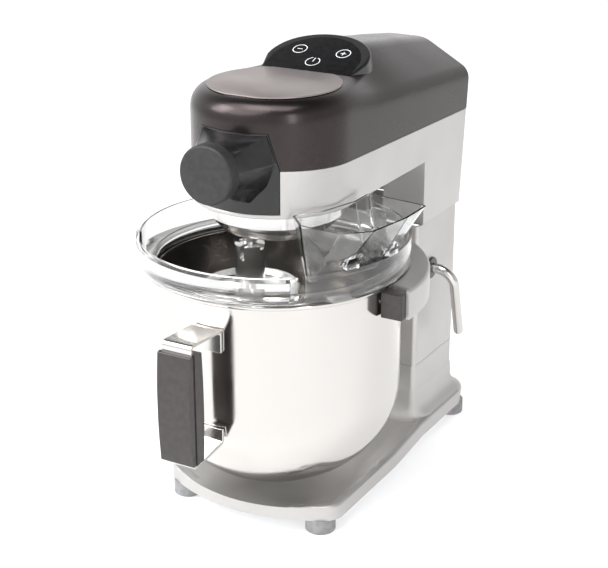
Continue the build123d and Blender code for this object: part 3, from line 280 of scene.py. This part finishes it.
FINISH_OF_SLOT = {
    "cast_aluminium": "cast_satin",
    "hood_dark": "hood_gloss",
    "nose_dark": "nose_gloss",
    "nose_plate": "nose_lid",
    "panel_glass": "panel_gloss",
    "black_rubber": "black_rubber",
    "foot_rubber": "foot_rubber",
    "grip_plastic": "grip_satin",
    "bowl_steel": "bowl_steel",
    "polished_steel": "strap_steel",
    "tool_aluminium": "tool_steel",
    "clear_plastic": "clear",
    "inner_steel": "machined",
    "bronze": "sintered",
    "board_green": "solder_mask",
    "motor_paint": "motor_paint",
    "plate_zinc": "zinc",
}


# ---------------------------------------------------------------- making pieces
def settle(name, mesh, node, finish=None, hide=()):
    """Makes the mesh a piece that rides with the node's body and stands for the nodes in hide."""
    piece = bpy.data.objects.new(name, mesh)
    bpy.context.scene.collection.objects.link(piece)
    mesh.materials.clear()
    mesh.materials.append(FINISHES[finish or FINISH_OF_SLOT[SLOT_OF[node]]])
    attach(piece, BODY_OF[node])
    if hide:
        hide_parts(*hide)
    return piece


def smooth(mesh, angle=32):
    for face in mesh.polygons:
        face.use_smooth = True
    mesh.set_sharp_from_angle(angle=radians(angle))


def to_mesh(bm, name, angle=32):
    mesh = bpy.data.meshes.new(name)
    bm.to_mesh(mesh)
    bm.free()
    smooth(mesh, angle)
    return mesh


def round_edges(piece, width, angle=35, segments=3):
    bevel = piece.modifiers.new("edge", "BEVEL")
    bevel.width = width
    bevel.segments = segments
    bevel.limit_method = "ANGLE"
    bevel.angle_limit = radians(angle)
    bevel.use_clamp_overlap = True
    bevel.harden_normals = True
    return piece


def dressed(node, finish=None, edge=0.0, angle=32):
    """A merged, smoothly shaded copy of a node, with its edges broken where edge is given."""
    bm = bmesh.new()
    bm.from_mesh(NODES[node].data)
    bmesh.ops.remove_doubles(bm, verts=bm.verts, dist=2e-6)
    bmesh.ops.dissolve_limit(bm, angle_limit=radians(0.4), verts=bm.verts, edges=bm.edges)
    piece = settle(node + "_skin", to_mesh(bm, node + "_skin", angle), node, finish, (node,))
    if edge:
        round_edges(piece, edge)
    return piece


def spun(name, outline, centre, segments=144, angle=32):
    """A closed solid of revolution from an outline of (reach, height) corners; reach 0 is a pole."""
    bm = bmesh.new()
    rows = []
    for reach, height in outline:
        if reach < 1e-7:
            rows.append([bm.verts.new((centre.x, centre.y, height))])
            continue
        rows.append(
            [
                bm.verts.new((centre.x + reach * cos(t), centre.y + reach * sin(t), height))
                for t in (2 * pi * i / segments for i in range(segments))
            ]
        )
    for low, high in zip(rows, rows[1:] + rows[:1]):
        if len(low) == 1 and len(high) == 1:
            continue
        for i in range(segments):
            j = (i + 1) % segments
            ring = [low[i % len(low)], low[j % len(low)], high[j % len(high)], high[i % len(high)]]
            corners = list(dict.fromkeys(ring))
            if len(corners) > 2:
                bm.faces.new(corners)
    bmesh.ops.recalc_face_normals(bm, faces=bm.faces)
    return to_mesh(bm, name, angle)


def evaluated(piece, name):
    """The plain mesh that a piece's modifiers give; the piece itself is removed."""
    bpy.context.view_layer.update()
    graph = bpy.context.evaluated_depsgraph_get()
    mesh = bpy.data.meshes.new_from_object(piece.evaluated_get(graph))
    mesh.name = name
    bpy.data.objects.remove(piece)
    if not mesh.polygons:
        raise RuntimeError(name + " came out empty")
    return mesh


def loose(name, mesh):
    piece = bpy.data.objects.new(name, mesh)
    bpy.context.scene.collection.objects.link(piece)
    return piece


# ---------------------------------------------------------------- hood
HEAD_HALF = 82 * MM
HOOD_EDGE = (377 * MM, 366 * MM)
HOOD_REAR = 282 * MM
BACK_FOOT = 268 * MM
BACK_FOOT_Z = 260 * MM
BACK_LEAN = 0.096
HOOD_PLAY = 0.4 * MM
RUN_STEPS = 44
TURN_STEPS = 48
# Each row: place behind the bowl's axis, shoulder height, half width of the crown, crown height.
HOOD_RUN = (
    (0.0, 430.0, 70.0, 442.0),
    (62.0, 423.0, 57.0, 442.0),
    (124.0, 419.0, 30.0, 459.0),
    (200.0, 413.5, 27.0, 451.0),
    (286.0, 408.0, 25.0, 438.5),
)


def hood_edge(back):
    """Height of the hood's lower edge at a place behind the bowl's axis."""
    slope = (HOOD_EDGE[1] - HOOD_EDGE[0]) / (HOOD_REAR + HEAD_HALF)
    return HOOD_EDGE[0] + HOOD_PLAY + slope * (back + HEAD_HALF)


def eased(values, at):
    """Smooth curve through (place, value) pairs, with flat ends."""
    places = [p for p, _ in values]
    heights = [v for _, v in values]
    slopes = [0.0] * len(values)
    for i in range(1, len(values) - 1):
        before = (heights[i] - heights[i - 1]) / (places[i] - places[i - 1])
        after = (heights[i + 1] - heights[i]) / (places[i + 1] - places[i])
        slopes[i] = 0.0 if before * after <= 0 else 2 * before * after / (before + after)
    slopes[-1] = (heights[-1] - heights[-2]) / (places[-1] - places[-2])
    for i in range(len(values) - 1):
        if at <= places[i + 1] or i == len(values) - 2:
            span = places[i + 1] - places[i]
            t = (at - places[i]) / span
            return (
                (2 * t**3 - 3 * t**2 + 1) * heights[i]
                + (t**3 - 2 * t**2 + t) * span * slopes[i]
                + (3 * t**2 - 2 * t**3) * heights[i + 1]
                + (t**3 - t**2) * span * slopes[i + 1]
            )


def corner(a, b, c, radius, steps):
    """Points of a soft corner at b between a and c."""
    start = b + (a - b).normalized() * min(radius, (a - b).length * 0.48)
    end = b + (c - b).normalized() * min(radius, (c - b).length * 0.48)
    return [
        start * (1 - t) ** 2 + b * 2 * t * (1 - t) + end * t**2
        for t in (i / steps for i in range(steps + 1))
    ]


def hood_rib(back, edge, shoulder_radius):
    """Half cross-section from the lower edge to the crown, as (reach, height)."""
    station = max(back, 0.0) / MM
    shoulder, crown_half, crown = (
        eased([(row[0], row[k]) for row in HOOD_RUN], station) * MM for k in (1, 2, 3)
    )
    foot = Vector((HEAD_HALF, edge))
    side = Vector((HEAD_HALF, shoulder))
    brow = Vector((crown_half, crown))
    top = Vector((0, crown))
    rib = [foot, foot.lerp(side, 0.35), foot.lerp(side, 0.65)]
    rib += corner(foot, side, brow, shoulder_radius, 8)
    rib += corner(side, brow, top, shoulder_radius * 0.9, 8)
    rib += [brow.lerp(top, 0.7), top]
    return rib


def hood_shell(shape):
    """The hood's outer skin: a run of ribs, turned round the bowl axis at the nose."""
    bm = bmesh.new()
    columns = []
    run = [HOOD_REAR * (1 - i / RUN_STEPS) for i in range(RUN_STEPS + 1)]
    for side in (1, -1):
        part = []
        for back in run:
            rib = []
            for reach, height in hood_rib(back, hood_edge(back), shape.hood_shoulder):
                share = back / HOOD_REAR
                lean = BACK_FOOT + BACK_LEAN * (height - BACK_FOOT_Z) - HOOD_REAR
                rib.append(bm.verts.new((side * reach, BOWL_Y + back + lean * share**4, height)))
            part.append(rib)
        columns.append(part)
    nose = []
    for i in range(1, TURN_STEPS):
        turn = pi * i / TURN_STEPS
        ahead = HEAD_HALF * sin(turn)
        rib = hood_rib(0, hood_edge(-ahead), shape.hood_shoulder)
        nose.append(
            [bm.verts.new((r * cos(turn), BOWL_Y - r * sin(turn), h)) for r, h in rib]
        )
    around = columns[0] + nose + columns[1][::-1]
    for first, second in zip(around, around[1:]):
        for k in range(len(first) - 1):
            bm.faces.new((first[k], second[k], second[k + 1], first[k + 1]))
    right, left = columns[0][0], columns[1][0]
    for k in range(len(right) - 1):
        bm.faces.new((right[k], right[k + 1], left[k + 1], left[k]))
    bmesh.ops.remove_doubles(bm, verts=bm.verts, dist=1e-6)
    bmesh.ops.recalc_face_normals(bm, faces=bm.faces)
    if sum(f.normal.z * f.calc_area() for f in bm.faces) < 0:
        bmesh.ops.reverse_faces(bm, faces=bm.faces)
    return to_mesh(bm, "hood")


def between(name, near, far):
    """A closed solid between two rings of equally many points."""
    bm = bmesh.new()
    rings = [[bm.verts.new(point) for point in ring] for ring in (near, far)]
    for ring in rings:
        bm.faces.new(ring)
    for i in range(len(near)):
        j = (i + 1) % len(near)
        bm.faces.new((rings[0][i], rings[0][j], rings[1][j], rings[1][i]))
    bmesh.ops.recalc_face_normals(bm, faces=bm.faces)
    return to_mesh(bm, name)


def prism(name, corners, start, end):
    """A closed solid from corners in (x, z), run from one y to another."""
    near, far = ([(x, y, z) for x, z in corners] for y in (start, end))
    return between(name, near, far)


def slab(name, outline, bottom, top, place):
    """A closed solid from an outline in the plane of place, between two heights above it."""
    near, far = ([place @ Vector((x, y, z)) for x, y in outline] for z in (bottom, top))
    return between(name, near, far)


# The hood's opening round the nose front and its boss.
NOSE_TURN = radians(33.5)
GAP_PLAY = 0.3 * MM
GAP_FOOT = 300 * MM
GAP_FRONT = 140 * MM
GAP_REAR = 30 * MM
BOSS_HALF = 36.3 * MM
BOSS_RISE = 31.8 * MM

PANEL_TILT = radians(20.2)
PANEL_HALF = 50 * MM
PANEL_FRONT_HALF = 50.5 * MM
PANEL_STRAIGHT = 24 * MM
PANEL_LENGTH = 66 * MM
SURROUND_WIDTH = 7 * MM
SURROUND_DEPTH = 26 * MM
SURROUND_DROP = 0.2 * MM
PANEL = Matrix.Translation((0, BOWL_Y + 58 * MM, 442 * MM)) @ Matrix.Rotation(PANEL_TILT, 4, "X")


def panel_outline(grow, steps=28):
    """Corners of the control panel in its own plane: straight front, half-round rear grown outward."""
    half = PANEL_HALF + grow
    depth = PANEL_LENGTH + grow - PANEL_STRAIGHT
    back = [
        (half * cos(pi * i / steps), PANEL_STRAIGHT + depth * sin(pi * i / steps) ** 0.9)
        for i in range(steps + 1)
    ]
    return [(-PANEL_FRONT_HALF, 0.0), (PANEL_FRONT_HALF, 0.0)] + back


class MIXER_OT_hood(bpy.types.Operator):
    """Builds the smooth dark hood and the raised surround of the control panel"""

    bl_idname = "mixer.hood"
    bl_label = "Hood"

    def execute(self, context):
        shape = context.scene.mixer_shape
        skin = loose("hood_blank", hood_shell(shape))
        wall = skin.modifiers.new("wall", "SOLIDIFY")
        wall.thickness = shape.hood_wall
        wall.offset = -1
        half = HEAD_HALF * sin(NOSE_TURN) + GAP_PLAY
        side, brow = HOOD_EDGE[0], middle("hub_cap").z + BOSS_RISE
        corners = [(-half, GAP_FOOT), (half, GAP_FOOT), (half, side)]
        corners += [(BOSS_HALF, brow), (-BOSS_HALF, brow), (-half, side)]
        gap = loose("hood_gap", prism("hood_gap", corners, BOWL_Y - GAP_FRONT, BOWL_Y - GAP_REAR))
        cut = skin.modifiers.new("gap", "BOOLEAN")
        cut.operation = "DIFFERENCE"
        cut.solver = "EXACT"
        cut.object = gap
        mesh = evaluated(skin, "head_hood_skin")
        bpy.data.objects.remove(gap)
        smooth(mesh, 35)
        settle("head_hood_skin", mesh, "head_hood", None, ("head_hood",))
        surround = settle(
            "panel_surround",
            slab("panel_surround", panel_outline(SURROUND_WIDTH), -SURROUND_DEPTH, -SURROUND_DROP, PANEL),
            "head_hood",
            "nose_gloss",
        )
        round_edges(surround, 0.0025, 40, 4)
        return {"FINISHED"}


# ---------------------------------------------------------------- control panel
def stroke(points, width, closed, base=0.02 * MM, height=0.12 * MM):
    """A flat raised line through points in the panel's plane."""
    bm = bmesh.new()
    count = len(points)
    rows = []
    for i, p in enumerate(points):
        before = points[i - 1] if closed or i else p
        after = points[(i + 1) % count] if closed or i < count - 1 else p
        along = (Vector(after) - Vector(before)).normalized()
        across = Vector((-along.y, along.x)) * width / 2
        rows.append(
            [
                bm.verts.new(PANEL @ Vector((p[0] + s * across.x, p[1] + s * across.y, z)))
                for s, z in ((-1, base), (1, base), (1, height), (-1, height))
            ]
        )
    for i in range(count if closed else count - 1):
        j = (i + 1) % count
        for k in range(4):
            bm.faces.new((rows[i][k], rows[j][k], rows[j][(k + 1) % 4], rows[i][(k + 1) % 4]))
    if not closed:
        bm.faces.new(rows[0])
        bm.faces.new(rows[-1])
    bmesh.ops.recalc_face_normals(bm, faces=bm.faces)
    return bm


def arc(x, y, radius, start=0, turn=360, steps=48):
    """Points round a circle, or along a part of one."""
    total = steps if turn == 360 else steps + 1
    turns = [radians(start + turn * i / steps) for i in range(total)]
    return [(x + radius * cos(t), y + radius * sin(t)) for t in turns]


class MIXER_OT_panel(bpy.types.Operator):
    """Dresses the control glass and lays its plain minus, plus and power symbols"""

    bl_idname = "mixer.panel"
    bl_label = "Control panel"

    def execute(self, context):
        width = context.scene.mixer_shape.symbol_line
        dressed("control_glass")
        ring, aside, arm, bar = 7.4 * MM, 25 * MM, 3 * MM, 7 * MM
        rear, front = 38 * MM, 18 * MM
        lines = [
            (arc(-aside, rear, ring), True),
            (arc(aside, rear, ring), True),
            ([(-aside - arm, rear), (-aside + arm, rear)], False),
            ([(aside - arm, rear), (aside + arm, rear)], False),
            ([(aside, rear - arm), (aside, rear + arm)], False),
            (arc(0, front, ring, 112, 316), False),
            ([(0, front), (0, front + bar)], False),
        ]
        whole = bmesh.new()
        for points, closed in lines:
            one = bpy.data.meshes.new("stroke")
            bm = stroke(points, width, closed)
            bm.to_mesh(one)
            bm.free()
            whole.from_mesh(one)
            bpy.data.meshes.remove(one)
        settle("panel_symbols", to_mesh(whole, "panel_symbols"), "control_glass", "symbol_white")
        return {"FINISHED"}


# ---------------------------------------------------------------- nose, castings and small parts
class MIXER_OT_nose(bpy.types.Operator):
    """Dresses the dark nose front, the lid on top of it and the hub's cap"""

    bl_idname = "mixer.nose"
    bl_label = "Nose"

    def execute(self, context):
        dressed("nose_front", None, 0.0012)
        dressed("nose_plate")
        dressed("hub_cap")
        return {"FINISHED"}


class MIXER_OT_castings(bpy.types.Operator):
    """Dresses the base, the column, the head's housing and the rear cover"""

    bl_idname = "mixer.castings"
    bl_label = "Castings"

    def execute(self, context):
        dressed("base_casting", "cast_satin")
        dressed("column_shell", "cast_satin", 0.0008)
        dressed("head_housing", "head_satin", 0.0008)
        dressed("rear_cover", "cast_satin", 0.0008)
        dressed("yoke", "cast_satin", 0.0012)
        return {"FINISHED"}


class MIXER_OT_fittings(bpy.types.Operator):
    """Dresses the feet, screws, inlet, lever and the yoke's pads"""

    bl_idname = "mixer.fittings"
    bl_label = "Fittings"

    def execute(self, context):
        for node in ("feet", "cover_screws", "power_inlet", "yoke_pads", "lever_bush", "guard_sensor"):
            dressed(node)
        dressed("lever_rod", "strap_steel")
        return {"FINISHED"}


# ---------------------------------------------------------------- bowl and handle
class MIXER_OT_bowl(bpy.types.Operator):
    """Turns the steel bowl with its rolled rim"""

    bl_idname = "mixer.bowl"
    bl_label = "Bowl"

    def execute(self, context):
        low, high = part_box("bowl")
        bead = 2.9 * MM
        wall = 1.5 * MM
        rim = high[2]
        radius = 127.2 * MM
        deep = 108 * MM
        knee = low[2] + deep
        steps = 40
        outer = [
            (radius * sin(pi / 2 * i / steps), knee - deep * cos(pi / 2 * i / steps))
            for i in range(steps + 1)
        ]
        inner = [
            ((radius - wall) * sin(pi / 2 * i / steps), knee - (deep - wall) * cos(pi / 2 * i / steps))
            for i in range(steps, -1, -1)
        ]
        centre = (radius - wall + bead, rim - bead)
        roll = [
            (centre[0] + bead * cos(t), centre[1] + bead * sin(t))
            for t in (radians(-120 + 300 * i / 20) for i in range(21))
        ]
        outline = outer + [(radius, rim - 2.4 * bead)] + roll + inner
        steel = spun("bowl_skin", outline, Vector((BOWL_X, BOWL_Y)), 180, 50)
        settle("bowl_skin", steel, "bowl", None, ("bowl",))
        dressed("bowl_pins")
        return {"FINISHED"}


class MIXER_OT_handle(bpy.types.Operator):
    """Dresses the handle's steel strap and its dark grip"""

    bl_idname = "mixer.handle"
    bl_label = "Handle"

    def execute(self, context):
        dressed("handle_strap", "strap_steel", 0.0006)
        dressed("handle_grip")
        return {"FINISHED"}


# ---------------------------------------------------------------- guard
class MIXER_OT_guard(bpy.types.Operator):
    """Dresses the clear guard ring, its swing gate and the filling chute"""

    bl_idname = "mixer.guard"
    bl_label = "Guard"

    def execute(self, context):
        dressed("guard_ring")
        dressed("guard_gate")
        dressed("guard_chute")
        return {"FINISHED"}


# ---------------------------------------------------------------- planetary head and whisk
def wire_tree(finish):
    """Gives the paths of wire their round thickness and the wire finish."""
    tree = bpy.data.node_groups.new("whisk_loops", "GeometryNodeTree")
    face = tree.interface
    face.new_socket("Geometry", in_out="INPUT", socket_type="NodeSocketGeometry")
    face.new_socket("Wire radius", in_out="INPUT", socket_type="NodeSocketFloat")
    face.new_socket("Geometry", in_out="OUTPUT", socket_type="NodeSocketGeometry")
    nodes, links = tree.nodes, tree.links
    start = nodes.new("NodeGroupInput")
    end = nodes.new("NodeGroupOutput")
    curve = nodes.new("GeometryNodeMeshToCurve")
    links.new(start.outputs["Geometry"], curve.inputs["Mesh"])
    ring = nodes.new("GeometryNodeCurvePrimitiveCircle")
    ring.inputs["Resolution"].default_value = 10
    links.new(start.outputs["Wire radius"], ring.inputs["Radius"])
    tube = nodes.new("GeometryNodeCurveToMesh")
    tube.inputs["Fill Caps"].default_value = True
    links.new(curve.outputs[0], tube.inputs["Curve"])
    links.new(ring.outputs[0], tube.inputs["Profile Curve"])
    real = nodes.new("GeometryNodeRealizeInstances")
    links.new(tube.outputs[0], real.inputs[0])
    paint = nodes.new("GeometryNodeSetMaterial")
    paint.inputs["Material"].default_value = finish
    links.new(real.outputs[0], paint.inputs["Geometry"])
    links.new(paint.outputs[0], end.inputs[0])
    return tree


LOOP_START = 9
LOOP_STEP = 2.8


def wire_loop_points(turn, low):
    """One smooth loop of wire from the plate down, across and up again."""
    half = ((26, 226), (33, 212), (40, 192), (44, 168), (43, 145), (37.5, 118), (27, 99))
    half += ((13, low + 2.2),)
    left = [Vector((-r, z)) for r, z in half]
    knots = left + [Vector((0, low))] + [Vector((-p.x, p.y)) for p in reversed(left)]
    points = []
    for i in range(len(knots) - 1):
        a, b, c, d = (knots[max(i - 1, 0)], knots[i], knots[i + 1], knots[min(i + 2, len(knots) - 1)])
        for t in (k / 5 for k in range(5)):
            points.append(
                0.5
                * (2 * b + (c - a) * t + (2 * a - 5 * b + 4 * c - d) * t**2 + (3 * b - 3 * c + d - a) * t**3)
            )
    points.append(knots[-1])
    return [
        (TOOL.x + p.x * MM * cos(turn), TOOL.y + p.x * MM * sin(turn), p.y * MM) for p in points
    ]


class MIXER_OT_whisk(bpy.types.Operator):
    """Builds the whisk: its sleeve and plate, and smooth loops of wire"""

    bl_idname = "mixer.whisk"
    bl_label = "Whisk"

    def execute(self, context):
        shape = context.scene.mixer_shape
        bm = bmesh.new()
        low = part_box("whisk_wires")[0][2] / MM + 1.2
        for number in range(shape.wire_loops):
            turn = radians(180 * number / shape.wire_loops + LOOP_START)
            points = [bm.verts.new(p) for p in wire_loop_points(turn, low + number * LOOP_STEP)]
            for a, b in zip(points, points[1:]):
                bm.edges.new((a, b))
        mesh = bpy.data.meshes.new("whisk_paths")
        bm.to_mesh(mesh)
        bm.free()
        paths = loose("whisk_paths", mesh)
        tree = wire_tree(FINISHES["wire_steel"])
        grow = paths.modifiers.new("wires", "NODES")
        grow.node_group = tree
        socket = next(s for s in tree.interface.items_tree if s.name == "Wire radius")
        grow[socket.identifier] = shape.wire_radius
        wires = evaluated(paths, "whisk_wires_skin")
        smooth(wires, 60)
        settle("whisk_wires_skin", wires, "whisk_wires", "wire_steel", ("whisk_wires",))
        dressed("whisk_hub", "tool_steel", 0.0004)
        dressed("planetary_housing", "cup_steel", 0.0006)
        dressed("tool_shaft", "tool_steel")
        dressed("tool_pin", "tool_steel")
        return {"FINISHED"}


class MIXER_OT_inside(bpy.types.Operator):
    """Gives every remaining part its finish"""

    bl_idname = "mixer.inside"
    bl_label = "Inner parts"

    def execute(self, context):
        for name, node in NODES.items():
            if node.hide_render:
                continue
            finish = FINISHES[FINISH_OF_SLOT[SLOT_OF[name]]]
            for place in node.material_slots:
                place.link = "OBJECT"
                place.material = finish
        return {"FINISHED"}


# ---------------------------------------------------------------- stage
CAMERA_PLACE = (0.7175, -1.2658, 0.7711)
CAMERA_AZIMUTH = radians(29.49)
CAMERA_ELEVATION = radians(20.882)
FLOOR_DROP = 0.2 * MM


def soft_light(name, place, target, size, power):
    data = bpy.data.lights.new(name, "AREA")
    data.shape = "RECTANGLE"
    data.size, data.size_y = size
    data.energy = power
    light = loose(name, data)
    light.location = place
    light.rotation_euler = (Vector(target) - Vector(place)).to_track_quat("-Z", "Y").to_euler()
    return light


def studio_world():
    """Soft surroundings: pale at the horizon, dark overhead, and dimmer to the right."""
    world = bpy.data.worlds.new("studio")
    world.use_nodes = True
    nodes, links = world.node_tree.nodes, world.node_tree.links
    coords = nodes.new("ShaderNodeTexCoord")
    split = nodes.new("ShaderNodeSeparateXYZ")
    links.new(coords.outputs["Generated"], split.inputs[0])
    height = nodes.new("ShaderNodeValToRGB")
    height.color_ramp.elements[0].position = 0.34
    height.color_ramp.elements[0].color = (1, 1, 1, 1)
    height.color_ramp.elements[1].position = 0.88
    height.color_ramp.elements[1].color = (0.05, 0.05, 0.055, 1)
    links.new(split.outputs["Z"], height.inputs[0])
    sideways = nodes.new("ShaderNodeMapRange")
    sideways.inputs["From Min"].default_value = -0.6
    sideways.inputs["From Max"].default_value = 0.8
    sideways.inputs["To Min"].default_value = 1.0
    sideways.inputs["To Max"].default_value = 0.7
    links.new(split.outputs["X"], sideways.inputs["Value"])
    both = nodes.new("ShaderNodeMix")
    both.data_type = "RGBA"
    both.blend_type = "MULTIPLY"
    both.inputs["Factor"].default_value = 1.0
    links.new(height.outputs["Color"], both.inputs["A"])
    links.new(sideways.outputs[0], both.inputs["B"])
    links.new(both.outputs["Result"], nodes["Background"].inputs["Color"])
    nodes["Background"].inputs["Strength"].default_value = 1.12
    return world


class MIXER_OT_stage(bpy.types.Operator):
    """Lays the pale floor and sets the soft lights and the camera"""

    bl_idname = "mixer.stage"
    bl_label = "Stage"

    def execute(self, context):
        setup = context.scene.mixer_stage
        half = setup.floor_size / 2
        bm = bmesh.new()
        corners = ((-half, -half), (half, -half), (half, half), (-half, half))
        bm.faces.new([bm.verts.new((x, y, -FLOOR_DROP)) for x, y in corners])
        floor = loose("floor", to_mesh(bm, "floor"))
        pale = plain_finish("floor_pale", (0.94, 0.94, 0.94), 0.0, 0.8)
        floor.data.materials.append(pale)
        target = (0, 0, 0.22)
        soft_light("key", (-1.5, -1.1, 1.5), target, (0.8, 1.2), setup.key_power)
        soft_light("fill", (1.7, -1.3, 0.9), target, (0.35, 1.4), setup.key_power * 0.35)
        soft_light("top", (0.2, -0.7, 2.4), target, (1.8, 1.0), setup.key_power * 1.1)
        daylight = bpy.data.lights.new("daylight", "SUN")
        daylight.energy = setup.daylight
        daylight.angle = radians(60)
        daylight.use_shadow = False
        even = loose("daylight", daylight)
        even.rotation_euler = (radians(34), radians(-22), 0)
        context.scene.world = studio_world()
        level = cos(CAMERA_ELEVATION)
        toward = Vector((sin(CAMERA_AZIMUTH) * level, -cos(CAMERA_AZIMUTH) * level, sin(CAMERA_ELEVATION)))
        data = bpy.data.cameras.new("camera")
        data.lens = 88.0
        data.sensor_width = 36.0
        camera = loose("camera", data)
        camera.location = CAMERA_PLACE
        camera.rotation_euler = (-toward).to_track_quat("-Z", "Y").to_euler()
        context.scene.camera = camera
        context.scene.view_settings.view_transform = "Standard"
        return {"FINISHED"}


class MIXER_PT_panel(bpy.types.Panel):
    bl_label = "Planetary Stand Mixer"
    bl_space_type = "VIEW_3D"
    bl_region_type = "UI"
    bl_category = "Mixer"

    def draw(self, context):
        scene = context.scene
        for group in (scene.mixer_shape, scene.mixer_colours, scene.mixer_stage):
            for key in group.__annotations__:
                self.layout.prop(group, key)
        for operator in OPERATORS:
            self.layout.operator(operator.bl_idname)


OPERATORS = (
    MIXER_OT_castings,
    MIXER_OT_hood,
    MIXER_OT_nose,
    MIXER_OT_panel,
    MIXER_OT_bowl,
    MIXER_OT_handle,
    MIXER_OT_guard,
    MIXER_OT_whisk,
    MIXER_OT_fittings,
    MIXER_OT_inside,
    MIXER_OT_stage,
)
GROUPS = (MixerShape, MixerColours, StageSetup)


def register():
    for cls in GROUPS + OPERATORS + (MIXER_PT_panel,):
        bpy.utils.register_class(cls)
    bpy.types.Scene.mixer_shape = PointerProperty(type=MixerShape)
    bpy.types.Scene.mixer_colours = PointerProperty(type=MixerColours)
    bpy.types.Scene.mixer_stage = PointerProperty(type=StageSetup)


def unregister():
    for name in ("mixer_shape", "mixer_colours", "mixer_stage"):
        delattr(bpy.types.Scene, name)
    for cls in reversed(GROUPS + OPERATORS + (MIXER_PT_panel,)):
        bpy.utils.unregister_class(cls)


def main():
    register()
    make_finishes(bpy.context.scene.mixer_colours)
    for operator in OPERATORS:
        family, action = operator.bl_idname.split(".")
        getattr(getattr(bpy.ops, family), action)()


if __name__ == "__main__":
    main()
